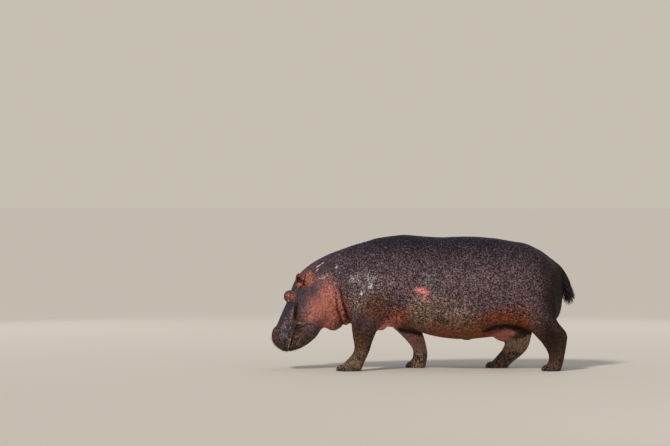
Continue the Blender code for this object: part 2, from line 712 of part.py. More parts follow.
def main():
    for obj in list(bpy.data.objects):
        bpy.data.objects.remove(obj)
    flesh = part_body(whole_body())
    pieces = seat_pieces(flesh)
    finished = {name: (obj, "hide") for name, obj in flesh.items()} | pieces
    corners = [vertex.co for obj, _ in finished.values() for vertex in obj.data.vertices]
    lowest = Vector([min(corner[i] for corner in corners) for i in range(3)])
    highest = Vector([max(corner[i] for corner in corners) for i in range(3)])
    middle = (lowest + highest) / 2
    shift = Vector((-middle.x, -middle.y, -lowest.z))
    helpers = set(bpy.data.objects) - {obj for obj, _ in finished.values()}
    for helper in helpers:
        bpy.data.objects.remove(helper)
    for name, (obj, finish_name) in finished.items():
        show(obj, name, finish_name, shift)


main()
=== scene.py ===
"""A life-size hippopotamus, walking with its head lowered, as a still museum model.

One hide covers the whole animal. It starts from the model's solids of flesh, which are
fused and softened; ears, lids, nostrils, lips and folds are then shaped on it, and its
markings are kept as one value per point for each kind of skin and for painted shade,
sheen and highlights. Eyes, nails and bristles are pieces of their own.

The animal faces -X and its left side is -Y. The floor is z = 0. Lengths are in metres,
except where a table says millimetres.
"""

import itertools
import math
import random

import bmesh
import bpy
import numpy as np
from mathutils import Matrix, Vector


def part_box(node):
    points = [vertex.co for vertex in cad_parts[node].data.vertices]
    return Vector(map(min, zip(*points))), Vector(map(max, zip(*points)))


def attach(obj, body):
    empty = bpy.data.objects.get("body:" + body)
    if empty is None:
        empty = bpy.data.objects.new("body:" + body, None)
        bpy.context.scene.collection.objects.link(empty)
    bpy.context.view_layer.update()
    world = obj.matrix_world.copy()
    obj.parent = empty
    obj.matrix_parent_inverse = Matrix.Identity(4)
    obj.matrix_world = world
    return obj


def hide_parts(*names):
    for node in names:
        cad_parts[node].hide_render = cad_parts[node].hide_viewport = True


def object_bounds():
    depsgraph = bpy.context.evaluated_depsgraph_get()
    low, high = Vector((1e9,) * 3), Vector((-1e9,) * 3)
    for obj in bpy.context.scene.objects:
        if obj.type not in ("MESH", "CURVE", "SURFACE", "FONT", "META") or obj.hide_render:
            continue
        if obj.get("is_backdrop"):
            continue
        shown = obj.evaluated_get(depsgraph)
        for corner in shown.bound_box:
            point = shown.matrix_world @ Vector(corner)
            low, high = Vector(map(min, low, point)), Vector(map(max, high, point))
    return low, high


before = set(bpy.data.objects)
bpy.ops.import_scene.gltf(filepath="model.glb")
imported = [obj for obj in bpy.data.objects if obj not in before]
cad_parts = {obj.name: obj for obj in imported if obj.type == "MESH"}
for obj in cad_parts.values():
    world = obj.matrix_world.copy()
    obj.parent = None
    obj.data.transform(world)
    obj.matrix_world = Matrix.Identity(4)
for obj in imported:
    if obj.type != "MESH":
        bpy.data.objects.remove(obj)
CAD_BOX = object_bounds()

bl_info = {
    "name": "Museum Hippopotamus",
    "version": (1, 0, 0),
    "blender": (4, 5, 0),
    "location": "3D View > Sidebar > Hippopotamus",
    "description": "Builds the hide, eyes, nails and bristles of a life-size hippopotamus",
    "category": "Add Mesh",
}

# ---------------------------------------------------------------- names and directions
SIDES = {"left": -1, "right": 1}
LEGS = ("foreleg_left", "foreleg_right", "hindleg_left", "hindleg_right")
TOES = ("inner", "inner_middle", "outer_middle", "outer")
EARS = ("ear_left", "ear_right")
EYES = ("eye_left", "eye_right")
SOLIDS = ("head", "lower_jaw", "neck", "trunk", "tail", *LEGS)  # the flesh under the hide
BODY = "root"  # a still model has this one body
SEED = 11
FULL_TURN = 2.0 * math.pi

KEY_WIDTH = math.radians(9.0)  # how wide the main light looks from the animal
HEAD_PITCH = math.radians(60.0)
FORWARD = Vector((-math.cos(HEAD_PITCH), 0.0, -math.sin(HEAD_PITCH)))
DORSAL = Vector((-math.sin(HEAD_PITCH), 0.0, math.cos(HEAD_PITCH)))

# ---------------------------------------------------------------- the form of the hide
ROUGH_VOXEL = 0.01  # the first fusing, which the softening works on
FACET_PASSES = 60  # softening passes that take the solids' facets away
MERGE = 1e-5  # the solids' loose corners are merged when this near
HIDE_TRIANGLES = 190_000
NARROW = 0.031  # furrows up to this half width get painted shade in their depth

# The ears stand on the back corners of the skull, hollow side outwards.
EAR_ROOT = Vector((-1.318, 0.16, 0.88))
EAR_AXIS = Vector((-0.1, 0.46, 0.88)).normalized()
EAR_FACING = Vector((-0.5, 0.86, -0.3)).normalized()
EAR_LENGTH = 0.17
EAR_WALL = 0.01
EAR_COLUMNS = 24  # faces across the sheet that an ear is bent from
# Stations up the ear: (share of its length, half width, half depth, how far its edges
# close round the hollow, in degrees from the middle of its back).
EAR_CUP = (
    (0.1, 0.03, 0.03, 170.0),
    (0.25, 0.034, 0.03, 165.0),
    (0.42, 0.044, 0.028, 128.0),
    (0.62, 0.049, 0.024, 112.0),
    (0.82, 0.041, 0.019, 100.0),
    (0.94, 0.025, 0.013, 90.0),
    (1.0, 0.01, 0.007, 85.0),
)
# Ridges inside the ear: (share of its length, across, out, radii along, across and out).
EAR_RIDGES = (
    (0.47, 0.006, -0.012, (0.05, 0.006, 0.012)),
    (0.6, -0.016, -0.01, (0.042, 0.005, 0.01)),
    (0.33, -0.004, 0.004, (0.016, 0.014, 0.01)),
)

# The eye opens between thick lids, low on the outside of the orbit.
EYE_RADIUS = 0.0245
EYE_OPENING = (0.0185, 0.009)  # half length and half height between the lids
LOWER_LID = 1.25  # how much further the opening reaches down than up
SLIT_SAG = 0.14  # how much its corners hang, as a share of the distance along it
EYE_REACH = 0.075  # how far from the eye its lids' folds end
LID_THICKNESS = 0.0038
NOSTRIL = Vector((-1.577, 0.082, 0.418))
NOSTRIL_OPENING = (0.026, 0.008)
NOSTRIL_DEPTH = 0.03

# Furrows seen from the side, in millimetres: (half width, depth, least distance from the
# middle plane, then the x and z of each point). A negative depth raises a ridge.
FURROWS = {
    "mouth": (7.5, 13, 0, -1500, 40, -1436, 222.5, -1403, 327, -1381, 381, -1362, 462, -1350, 500),
    "mouth_corner": (11, 12, 60, -1385, 420, -1362, 470, -1320, 486, -1290, 480),
    "cheek_crease": (12, 10, 70, -1350, 452, -1290, 462, -1225, 492, -1110, 455),
    "lip_fold_front": (10, 11, 70, -1430, 590, -1412, 530, -1390, 490, -1350, 440),
    "lip_fold_back": (9, 9, 70, -1375, 560, -1340, 530, -1300, 515, -1235, 530),
    "corner_upper": (7, 11, 80, -1408, 530, -1392, 498, -1366, 482, -1330, 492),
    "corner_middle": (7, 10, 80, -1398, 465, -1378, 452, -1345, 448, -1312, 462),
    "corner_lower": (7, 10, 80, -1368, 425, -1345, 408, -1315, 412, -1290, 432),
    "lip_edge": (8, -5, 50, -1452, 235, -1425, 320, -1404, 385, -1388, 440),
    "jaw_fold": (12, 5, 60, -1335, 415, -1290, 385, -1235, 385, -1190, 400),
    "chin_fold": (12, 5, 40, -1410, 245, -1360, 300, -1335, 370),
    "under_eye": (18, 12, 50, -1445, 755, -1400, 705, -1368, 630, -1368, 560, -1405, 470),
    "cheek_fold_front": (6, 10, 70, -1392, 650, -1372, 600, -1380, 545, -1400, 510),
    "cheek_fold_back": (6, 9, 70, -1352, 620, -1336, 575, -1348, 530, -1372, 500),
    "muzzle_streak": (10, 7, 60, -1470, 520, -1478, 430, -1470, 330, -1455, 250),
    "muzzle_front": (12, 6, 50, -1520, 480, -1545, 400, -1535, 280),
    "nose_groove": (14, 7, 0, -1640, 355, -1570, 372, -1510, 420, -1480, 500),
    "lip_row_front": (8, 4, 50, -1590, 330, -1575, 260, -1530, 190),
    "lip_row_middle": (8, 4, 50, -1505, 350, -1500, 260, -1480, 170),
    "muzzle_back": (8, 4, 60, -1435, 500, -1440, 420, -1425, 330),
    "snout_edge": (14, -6, 30, -1425, 720, -1402, 660, -1418, 580, -1450, 480),
    "behind_orbit": (18, 8, 50, -1440, 870, -1385, 820, -1368, 745, -1378, 690),
    "behind_ear": (13, 6, 100, -1190, 985, -1124, 927, -1060, 860),
    "ear_base": (14, 8, 100, -1280, 880, -1225, 920, -1200, 1010),
    "neck_front": (18, 18, 0, -900, 1080, -930, 870, -912, 672, -868, 521, -830, 380),
    "neck_back": (21, 24, 0, -870, 1100, -885, 890, -857, 743, -809, 575, -760, 400),
    "shoulder_front": (34, 12, 120, -815, 980, -800, 770, -780, 640, -745, 470),
    "cheek_back": (26, 6, 100, -1030, 960, -1040, 800, -1000, 640, -960, 540),
    "throat": (20, 10, 0, -1060, 590, -1005, 510, -960, 400),
    "armpit": (20, 13, 120, -300, 620, -395, 545, -470, 460, -510, 380),
    "shoulder_back": (60, 10, 200, -180, 1120, -250, 880, -350, 650),
    "shoulder_blade": (60, -8, 200, -520, 1180, -560, 980, -600, 800),
    "nape": (40, 7, 80, -680, 1340, -770, 1160, -840, 1000),
    "flank_front": (50, 8, 250, 640, 1020, 720, 800, 800, 600),
    "hip": (80, 10, 200, 820, 1240, 880, 980, 960, 720),
    "flank_fold": (31, 30, 100, 560, 370, 660, 430, 810, 476, 960, 468, 1090, 425, 1165, 385),
    "thigh_front": (40, 12, 150, 1060, 640, 1090, 520, 1120, 400),
    "navel": (32, -12, 0, 430, 340, 480, 320, 530, 340),
    "buttock": (35, 10, 50, 1470, 620, 1400, 500, 1300, 440),
}

# The tail from root to tip in side view.
TAIL_PATH = ((1.335, 1.14), (1.442, 1.078), (1.528, 0.972), (1.574, 0.872), (1.586, 0.79), (1.578, 0.7))
TAIL_RINGS = 26.0
TAIL_TIP = 0.84  # the height where the flesh of the tip starts to be drawn up

# Where each kind of skin, painted shade and painted highlight lies, as ellipses seen from the
# side: (x, z, half length, half height, strength, lean, least distance from the middle plane).
# Lengths are in millimetres and the lean in degrees; the last two are left out where they are 0.
MARKINGS = {
    "blush": (
        (-985, 700, 130, 290, 1.1, 8), (-1115, 640, 155, 200, 0.8, 20), (-1010, 480, 100, 80, 0.85),
        (-1190, 570, 90, 80, 0.7), (500, 430, 350, 70, 0.4), (-1235, 1000, 62, 80, 1, 10, 130),
        (-1310, 990, 85, 110, 0.45, 0, 130), (-1435, 800, 62, 62, 0.66, 0, 110),
        # The first here is a painted highlight along the snout's edge.
        (-1404, 600, 10, 120, 0.35, -8, 50), (-870, 660, 50, 210, 1.2, 14),
    ),
    "rust_and_bounce": (
        (-855, 640, 70, 230, 1.1, 12), (-1270, 990, 110, 110, 0.95, 0, 130),
        (-1435, 800, 70, 70, 0.8, 0, 110), (250, 400, 520, 110, 1, 2), (830, 560, 400, 160, 0.76, 9, 300),
        (440, 545, 260, 85, 0.52, 6, 300), (1080, 620, 200, 130, 0.4, 20), (-1000, 420, 120, 80, 0.9),
        (660, 360, 220, 110, 1), (-450, 660, 280, 130, 0.5),
    ),
    "mud": (
        (-520, 700, 300, 170, 0.85, 10), (-1300, 540, 130, 70, 0.45, 30), (-1350, 575, 50, 90, 0.95, 0, 80),
        (-1560, 350, 55, 150, 0.85),
    ),
    # Dark brown hide of the rump and thighs, with painted shade where the rear turns from the light.
    "umber_and_shade": (
        (1500, 800, 270, 420, 1.2), (1250, 900, 260, 360, 0.48), (1350, 1080, 330, 200, 0.65, -35),
        (-660, 500, 120, 150, 0.65), (1180, 420, 200, 110, 0.5), (1380, 350, 150, 300, 0.85),
        # The last three darken the face below the eye, at the mouth's corner and on the jaw, as painted
        # shade.
        (1200, 1250, 400, 120, 0.4, -18), (-1365, 650, 32, 120, 1, -12, 80),
        (-1350, 450, 80, 60, 0.9, 0, 80), (-1300, 330, 120, 70, 0.45, 25),
    ),
    # Blue-grey skin of the snout and temples, with a painted sky reflection on ridges and tops.
    "slate_and_sky_sheen": (
        (-1490, 650, 70, 200, 1.3, -28), (-1300, 830, 110, 90, 0.9, -20), (-1040, 1070, 160, 90, 0.6, 30),
        (-1400, 930, 80, 100, 0.9, -30), (-1275, 740, 75, 100, 0.8), (-870, 1050, 220, 110, 0.7, 35),
        (-1478, 400, 36, 170, 1.1, -10), (-1310, 790, 80, 90, 0.5), (-1180, 840, 90, 110, 0.7),
    ),
    # Pale bloom on the muzzle, and painted sheen and highlights on the shoulders, the neck and the lip's
    # edge.
    "bloom_and_sheen": (
        (-580, 960, 170, 150, 0.5, -20), (-820, 930, 140, 170, 0.25), (-1480, 400, 65, 150, 0.46, -6, 50),
        (-1437, 285, 10, 75, 1, -14, 60), (-1020, 1080, 100, 50, 0.3, 40),
    ),
    # Greyish olive between the flank's cracks; the thin lines by the snout are painted highlights.
    "olive_and_painted_light": (
        (10, 630, 200, 210, 0.98, -20), (290, 600, 340, 180, 0.76, -6), (-1320, 335, 130, 90, 0.42, 20),
        (-1408, 590, 11, 110, 0.8, -8, 50), (-1392, 500, 10, 50, 0.65, 20, 70),
        (-1325, 508, 50, 10, 0.6, 15, 70), (-700, 720, 120, 110, 0.5),
    ),
    "cracked": (
        (-10, 600, 150, 220, 1.05, -15), (200, 560, 260, 110, 1.1, -10), (550, 480, 450, 160, 0.8),
        (-1545, 360, 60, 130, 0.25), (-1090, 680, 200, 220, 0.25), (1150, 620, 200, 160, 0.35),
    ),
    # The first is a painted glint below the eye; the rest are pale patches on the shoulders.
    "pale_flecks_and_glints": ((-1452, 762, 30, 6, 0.5, -60, 120), (-560, 985, 80, 55, 0.34), (-740, 990, 70, 60, 0.32)),
    "graze_and_glint": (),
    # Painted shadow of the ear's rolled edge and along its root.
    "crack_and_fold_shade": ((-1268, 1000, 10, 60, 0.95, -12, 130), (-1300, 905, 50, 10, 0.7, 20, 130)),
}
# Marks on the left side only: the healing graze with its scratch, the pink armpit, painted shadow
# under the belly's overhang and above the far foreleg, a painted bluish sheen, pale flecks and painted
# glints.
LEFT_MARKINGS = {
    "rust_and_bounce": ((-220, 560, 190, 120, 0.9, 0, 420),),
    "graze_and_glint": (
        (-20, 870, 75, 34, 1.1, -20, 100), (15, 860, 60, 22, 0.9, -28, 100),
        (10, 800, 30, 60, 0.62, 0, 100), (-70, 905, 30, 14, 0.8, -40, 100),
        (-400, 478, 85, 26, 0.9, 18, 100),
    ),
    "crack_and_fold_shade": (
        (-110, 985, 50, 12, 1, -45, 100), (-85, 955, 22, 22, 0.9, 0, 100),
        # Painted shadow under the belly's overhang, along the flank's fold and above the far foreleg.
        (1065, 428, 140, 42, 1.3, -22, 50), (840, 462, 160, 18, 1, 3, 100), (-140, 448, 140, 18, 1, -17),
    ),
    # A painted bluish sheen above the graze.
    "bloom_and_sheen": ((45, 995, 80, 55, 0.75, -20, 100),),
    "slate_and_sky_sheen": ((50, 1000, 90, 60, 0.45, 0, 100),),
    "blush": ((-350, 500, 140, 75, 1.5, 35), (360, 1010, 20, 20, 0.6, 0, 100)),
    "pale_flecks_and_glints": (
        (-650, 845, 28, 20, 0.8, 0, 100), (-562, 910, 28, 18, 0.7, 20, 100),
        (-1105, 1135, 70, 5, 0.62, 33, 100), (-1130, 1085, 45, 5, 0.42, 50, 100),
        (-930, 1110, 35, 10, 0.42, 40, 100), (360, 985, 30, 50, 0.3, 0, 100),
        (-1434, 290, 7, 65, 0.36, -12, 100), (756, 936, 14, 10, 0.55, 0, 100),
        (808, 833, 14, 10, 0.55, 0, 100), (1287, 859, 20, 12, 0.5, 0, 100),
        (-340, 950, 50, 30, 0.3, 0, 100), (-1050, 1020, 110, 25, 0.3, 25, 100),
    ),
}
# Pink skin of the groin, which hangs between the thighs, and the shade behind it.
GROIN = (870, 375, 115, 70, 1.6, 15)
GROIN_SHADE = (1020, 372, 45, 70, 1, -20)


# ---------------------------------------------------------------- settings
def hex_colour(code):
    """An sRGB hex colour as linear values."""
    shares = [int(code[i : i + 2], 16) / 255.0 for i in (1, 3, 5)]
    return tuple(s / 12.92 if s <= 0.04045 else ((s + 0.055) / 1.055) ** 2.4 for s in shares)


def colour_choice(name, code, description):
    more = {"subtype": "COLOR", "size": 3, "min": 0.0, "max": 1.0, "default": hex_colour(code)}
    return bpy.props.FloatVectorProperty(name=name, description=description, **more)


def number_choice(name, default, low, high, description, **more):
    more.update(default=default, min=low, max=high)
    return bpy.props.FloatProperty(name=name, description=description, **more)


def length_choice(*settings):
    return number_choice(*settings, subtype="DISTANCE", unit="LENGTH")


def count_choice(name, default, high, description):
    return bpy.props.IntProperty(name=name, description=description, default=default, min=0, max=high)


class HippoHideSettings(bpy.types.PropertyGroup):
    voxel: length_choice("Modelling step", 0.006, 0.004, 0.02, "Size of the grid that the hide is shaped on")
    fold_depth: number_choice(
        "Depth of folds", 1.0, 0.0, 2.0, "Depth of folds and furrows, as a share of life", subtype="FACTOR"
    )
    grain: length_choice("Height of grain", 0.0035, 0.0, 0.01, "Height of the hide's pebbles and cracks")
    # Dark hide along the back, tinted blue as a painted reflection of the sky.
    back: colour_choice("Back", "#0a0628", "Hide along the back")
    flank: colour_choice("Flank", "#6b555c", "Hide on the flanks")
    mud: colour_choice("Legs", "#503926", "Hide stained by mud, on the legs and chin")
    # Orange-brown hide, also the colour of painted bounce light from the floor under the belly.
    rust_and_bounce: colour_choice("Belly", "#8f481f", "Orange-brown hide low on the belly and in the neck folds")
    blush: colour_choice("Pink skin", "#bd7264", "Thin pink skin of the cheeks, ears, armpits and groin")
    # Dark brown hide, also the colour of painted shade on the rear and in the face's hollows.
    umber_and_shade: colour_choice("Rump", "#1d1004", "Dark brown hide of the rump, thighs and ears' hollows")
    # Blue-grey skin, also the tint of a painted sky reflection on upward faces of the head and neck.
    slate_and_sky_sheen: colour_choice("Slate skin", "#38333f", "Blue-grey hide of the snout and temples")
    # Greyish olive hide, also the colour of painted light on the legs' inner faces and the snout's edge.
    olive_and_painted_light: colour_choice("Olive skin", "#a88d7c", "Greyish olive hide low on the flank, between its cracks")
    # Pale bloom, also the colour of painted sheen and highlights on the shoulders, neck and lips.
    bloom_and_sheen: colour_choice("Ash", "#8d868c", "Dry, pale bloom on the shoulders and muzzle")
    # Dark of the hide's cracks, and the colour of painted shade deep in folds, hollows and under the body.
    crack_and_fold_shade: colour_choice("Creases", "#150e0c", "Deep in the folds")
    # Healing skin of the graze, also the colour of painted glints on the lower lids and the ears' lower rims.
    graze_and_glint: colour_choice("Graze", "#e08886", "Healing skin of the graze")
    # Pale flecks, also the colour of painted glints below the eyes and at the lip.
    pale_flecks_and_glints: colour_choice("Dried mud", "#e4e0de", "Flecks of dried pale mud")


class HippoEyeSettings(bpy.types.PropertyGroup):
    pupil: length_choice("Pupil", 0.0052, 0.001, 0.01, "Half length of the pupil's slit")
    iris: length_choice("Iris", 0.0125, 0.005, 0.02, "Radius of the iris")
    iris_colour: colour_choice("Iris colour", "#170d08", "The iris")
    white: colour_choice("White of the eye", "#5a3a30", "The stained white round the iris")
    lid_margin: colour_choice("Lid margin", "#8a5a50", "The wet edge of the lids")


class HippoNailSettings(bpy.types.PropertyGroup):
    ridge: length_choice("Growth ridges", 0.0007, 0.0, 0.003, "Height of the growth ridges")
    horn: colour_choice("Horn", "#100d0c", "The nails' dark horn")
    worn: colour_choice("Worn edge", "#5f5146", "The nails' scuffed lower edge")


class HippoBristleSettings(bpy.types.PropertyGroup):
    tail_count: count_choice("Tail bristles", 900, 3000, "How many bristles the tail has")
    muzzle_count: count_choice("Muzzle bristles", 420, 3000, "How many bristles the lips and chin have")
    ear_count: count_choice("Ear hairs", 170, 1000, "How many hairs fringe each ear")
    tail_length: length_choice("Tail bristle length", 0.085, 0.01, 0.2, "Longest bristles at the tail's tip")
    dark: colour_choice("Bristle", "#120c0b", "The stiff dark bristles of the tail")
    pale: colour_choice("Whisker", "#5b4638", "The shorter bristles of the muzzle and ears")


class HippoStageSettings(bpy.types.PropertyGroup):
    floor: colour_choice("Floor", "#cfcac2", "The plain floor")
    key_strength: number_choice("Main light", 2.5, 0.0, 100.0, "Its strength in watts per square metre")
    key_angle: number_choice(
        "Softness", KEY_WIDTH, 0.0, math.pi, "How wide the main light looks", subtype="ANGLE", unit="ROTATION"
    )
    fill_power: number_choice(
        "Fill light", 50.0, 0.0, 10_000.0, "Power of each soft fill light", subtype="POWER", unit="POWER"
    )
    lens: number_choice("Lens", 223.9, 20.0, 600.0, "Focal length of the camera", unit="CAMERA")
    distance: length_choice("Camera distance", 45.0, 5.0, 100.0, "How far the camera stands from the animal")


# ---------------------------------------------------------------- mesh helpers
def place(name, mesh):
    """Links a mesh to the scene as an object at the origin."""
    made = bpy.data.objects.new(name, mesh)
    bpy.context.scene.collection.objects.link(made)
    return made


def mesh_of(bm, name):
    """Turns a bmesh into a mesh with smooth faces, and frees it."""
    mesh = bpy.data.meshes.new(name)
    bm.to_mesh(mesh)
    bm.free()
    mesh.shade_smooth()
    return mesh


def finish(name, bm):
    """Turns a closed bmesh into an object whose faces point outwards."""
    bmesh.ops.recalc_face_normals(bm, faces=bm.faces)
    if bm.calc_volume(signed=True) < 0.0:
        bmesh.ops.reverse_faces(bm, faces=bm.faces)
    return place(name, mesh_of(bm, name))


def settled(obj):
    """A new mesh of the object with its modifiers applied; the object is removed."""
    bpy.context.view_layer.update()
    graph = bpy.context.evaluated_depsgraph_get()
    mesh = bpy.data.meshes.new_from_object(obj.evaluated_get(graph))
    bpy.data.objects.remove(obj)
    return mesh


def stood_for(piece, material, slot, *nodes):
    """Gives a piece its material and body, and hides the solids that it stands for. The slot is not used."""
    piece.data.materials.clear()
    piece.data.materials.append(material)
    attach(piece, BODY)
    if nodes:
        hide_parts(*nodes)


def box_middle(node):
    low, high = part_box(node)
    return (low + high) / 2.0


def mirrored(vector, sign):
    """A vector of the right side on the side that the sign names."""
    return vector * Vector((1.0, sign, 1.0))


def read_rows(items, name, width, kind=np.float32):
    flat = np.empty(width * len(items), kind)
    items.foreach_get(name, flat)
    return flat.reshape(-1, width)


def read_points(mesh):
    return read_rows(mesh.vertices, "co", 3).astype(float)


def read_normals(mesh):
    return read_rows(mesh.vertex_normals, "vector", 3).astype(float)


def read_links(mesh):
    """The two ends of every edge."""
    return read_rows(mesh.edges, "vertices", 2, np.int32)


def write_points(mesh, points):
    mesh.vertices.foreach_set("co", points.astype(np.float32).ravel())
    mesh.update()


def ease(value, start, end):
    """0 at the start and before, 1 at the end and beyond, with a soft step between. The
    start may be the greater one."""
    share = np.clip((value - start) / (end - start), 0.0, 1.0)
    return share * share * (3.0 - 2.0 * share)


def hump(value, middle, width):
    """1 at the middle, falling smoothly to nothing on both sides."""
    return np.exp(-(((value - middle) / width) ** 2))


def averaged(values, links, share, passes):
    """Values moved towards their neighbours' mean, by half of each point's share a pass."""
    values = values.copy()
    count = len(values)
    start, end = links.T
    neighbours = np.maximum(np.bincount(links.ravel(), minlength=count), 1)
    for _ in range(passes):
        for axis in range(values.shape[1]):
            column = values[:, axis]
            total = np.bincount(start, column[end], count) + np.bincount(end, column[start], count)
            values[:, axis] += (total / neighbours - column) * share * 0.5
    return values


def softened(points, links, share, passes):
    """The points with facets and steps averaged away, and the volume that costs put back."""
    soft = averaged(points, links, share, passes)
    return soft + averaged(points - soft, links, share, passes)


LATTICE_SIZE = 64
LATTICE = np.random.default_rng(SEED).uniform(-1.0, 1.0, (LATTICE_SIZE,) * 3)


def wandering(points, *size):
    """Smooth noise from -1 to 1, with lumps of about the given size, or size per axis."""
    cell, part = np.divmod(points / np.array(size), 1.0)
    cell = cell.astype(int)
    part = part * part * (3.0 - 2.0 * part)
    total = np.zeros(len(points))
    for corner in itertools.product((0, 1), repeat=3):
        share = np.prod(np.where(corner, part, 1.0 - part), axis=1)
        total += share * LATTICE[tuple(((cell + corner) % LATTICE_SIZE).T)]
    return total


def flowing(points, steps=6):
    """Points on a Catmull-Rom curve through the given ones."""
    rows = np.array(points, float)
    padded = np.vstack([rows[:1], rows, rows[-1:]])
    found = []
    for before, start, end, after in zip(padded, padded[1:], padded[2:], padded[3:]):
        once = end - before
        twice = 2 * before - 5 * start + 4 * end - after
        thrice = 3 * start - before - 3 * end + after
        for t in np.arange(steps) / steps:
            found.append(0.5 * (2 * start + once * t + twice * t * t + thrice * t**3))
    return np.vstack([*found, rows[-1]])


def along_path(places, path):
    """Each place's distance from a path, and how far along it the nearest point is."""
    least = np.full(len(places), np.inf)
    share = np.zeros(len(places))
    for number, (start, end) in enumerate(zip(path, path[1:])):
        step = end - start
        t = np.clip((places - start) @ step / (step @ step), 0.0, 1.0)
        gap = np.linalg.norm(places - start - t[:, None] * step, axis=1)
        nearer = gap < least
        least[nearer] = gap[nearer]
        share[nearer] = (number + t[nearer]) / (len(path) - 1)
    return least, share


def furrow(places, path, width, depth):
    """The height of a furrow with raised lips along a path that fades at both ends."""
    reach = 4.0 * width
    inside = np.all((places > path.min(axis=0) - reach) & (places < path.max(axis=0) + reach), axis=1)
    gap, share = along_path(places[inside], path)
    fade = ease(share, 0.0, 0.35) * ease(share, 1.0, 0.65)
    broad = width * (0.6 + 0.4 * fade)
    height = np.zeros(len(places))
    height[inside] = -depth * fade * (hump(gap, 0.0, broad) - 0.3 * hump(gap, 2.1 * broad, broad))
    return height


# ---------------------------------------------------------------- the hide
def flesh_copy():
    """One mesh object of copies of the flesh's and eyes' solids, each closed again."""
    bm = bmesh.new()
    for name in (*SOLIDS, *EYES):
        bm.from_mesh(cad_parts[name].data)
    bmesh.ops.remove_doubles(bm, verts=bm.verts, dist=MERGE)
    return finish("flesh", bm)


def fused(objects, voxel):
    """One skin over overlapping objects, which are removed."""
    bm = bmesh.new()
    for obj in objects:
        bm.from_mesh(obj.data)
        bpy.data.objects.remove(obj)
    whole = finish("fused", bm)
    remesh = whole.modifiers.new("one skin", "REMESH")
    remesh.mode = "VOXEL"
    remesh.voxel_size = voxel
    return settled(whole)


def ear_frame(sign):
    """The ear's directions as columns: along it, across it, and out of its hollow."""
    axis = mirrored(EAR_AXIS, sign)
    facing = mirrored(EAR_FACING, sign)
    facing = (facing - axis * facing.dot(axis)).normalized()
    return Matrix((axis, axis.cross(facing) * sign, facing)).transposed()


def ear_point(sign, along, across, out):
    return mirrored(EAR_ROOT, sign) + ear_frame(sign) @ Vector((along, across, out))


def ear_cup(sign):
    """The ear's wall: a sheet bent round the hollow, then given its thickness."""
    stations = flowing(EAR_CUP, 3)
    bm = bmesh.new()
    bmesh.ops.create_grid(bm, x_segments=EAR_COLUMNS, y_segments=len(stations) - 1, size=1.0)
    for vertex in bm.verts:
        row = round((vertex.co.y + 1.0) / 2.0 * (len(stations) - 1))
        share, width, depth, closing = stations[row]
        angle = vertex.co.x * math.radians(closing)
        vertex.co = ear_point(sign, share * EAR_LENGTH, width * math.sin(angle), -depth * math.cos(angle))
    bmesh.ops.recalc_face_normals(bm, faces=bm.faces)
    middle = ear_point(sign, 0.6 * EAR_LENGTH, 0.0, 0.0)
    back = ear_point(sign, 0.6 * EAR_LENGTH, 0.0, -0.024)
    face = min(bm.faces, key=lambda f: (f.calc_center_median() - back).length)
    if face.normal.dot(face.calc_center_median() - middle) < 0:
        bmesh.ops.reverse_faces(bm, faces=bm.faces)
    bmesh.ops.solidify(bm, geom=bm.faces, thickness=EAR_WALL)
    return finish("ear_cup", bm)


def ear_masses(sign):
    """The ear's wall, and rounded masses of flesh for its root and ridges."""
    made = [ear_cup(sign)]
    masses = [((0.022, 0.0, -0.004), (0.036, 0.036, 0.034))]
    masses += [((share * EAR_LENGTH, across, out), radii) for share, across, out, radii in EAR_RIDGES]
    for centre, radii in masses:
        bm = bmesh.new()
        bmesh.ops.create_icosphere(bm, subdivisions=3, radius=1.0)
        bmesh.ops.scale(bm, vec=radii, verts=bm.verts)
        bmesh.ops.transform(bm, matrix=ear_frame(sign).to_4x4(), verts=bm.verts)
        bmesh.ops.translate(bm, vec=ear_point(sign, *centre), verts=bm.verts)
        made.append(finish("ear_mass", bm))
    return made


def suppleness(points):
    """How freely each part of the form is softened: least where it is small."""
    x, _, z = points.T
    head = 0.4 + 0.6 * ease(x, -1.25, -0.85)
    legs = 0.3 + 0.7 * ease(z, 0.2, 0.6)
    feet = 0.1 + 0.9 * ease(z, 0.07, 0.22)
    tail = 1.0 - 0.85 * ease(x, 1.48, 1.54)
    return np.minimum.reduce([head, legs, feet, tail])


def rough_form():
    """The fused solids of the flesh with the facets taken away."""
    mesh = fused([flesh_copy()], ROUGH_VOXEL)
    points = read_points(mesh)
    write_points(mesh, softened(points, read_links(mesh), suppleness(points), FACET_PASSES))
    return place("rough_form", mesh)


def eye_centre(sign):
    return box_middle(EYES[sign > 0])


def slit_frame(out, slit, sign):
    """The directions of a slit as columns: along it, across it, and out."""
    out = out.normalized()
    slit = (slit - out * slit.dot(out)).normalized()
    return Matrix((slit, out.cross(slit) * sign, out)).transposed()


def eye_frame(sign):
    out = FORWARD * 0.22 + DORSAL * 0.2 + Vector((0.0, sign, 0.0))
    return slit_frame(out, FORWARD * 0.93 - DORSAL * 0.37, sign)


def nostril_frame(sign):
    out = FORWARD * 0.34 + DORSAL * 0.8 + Vector((0.0, 0.5 * sign, 0.0))
    return slit_frame(out, FORWARD * 0.8 + Vector((0.0, 0.45 * sign, 0.0)), sign)


def local(points, centre, directions):
    """The points in a small frame whose directions are a matrix's columns."""
    return (points - np.array(centre)) @ np.array(directions)


def in_eye(points, sign):
    return local(points, eye_centre(sign), eye_frame(sign))


def in_nostril(points, sign):
    return local(points, mirrored(NOSTRIL, sign), nostril_frame(sign))


def in_ear(points, sign):
    return local(points, ear_point(sign, 0.0, 0.0, 0.0), ear_frame(sign))


def lid_ring(near):
    """How far each point is from the middle of the slit: 1 on the lids' edge."""
    along, up, _ = near.T
    half_length, half_height = EYE_OPENING
    lean = np.where(up > 0.0, 1.0, LOWER_LID)
    return np.hypot(along / half_length, (up + SLIT_SAG * np.abs(along)) / (half_height * lean))


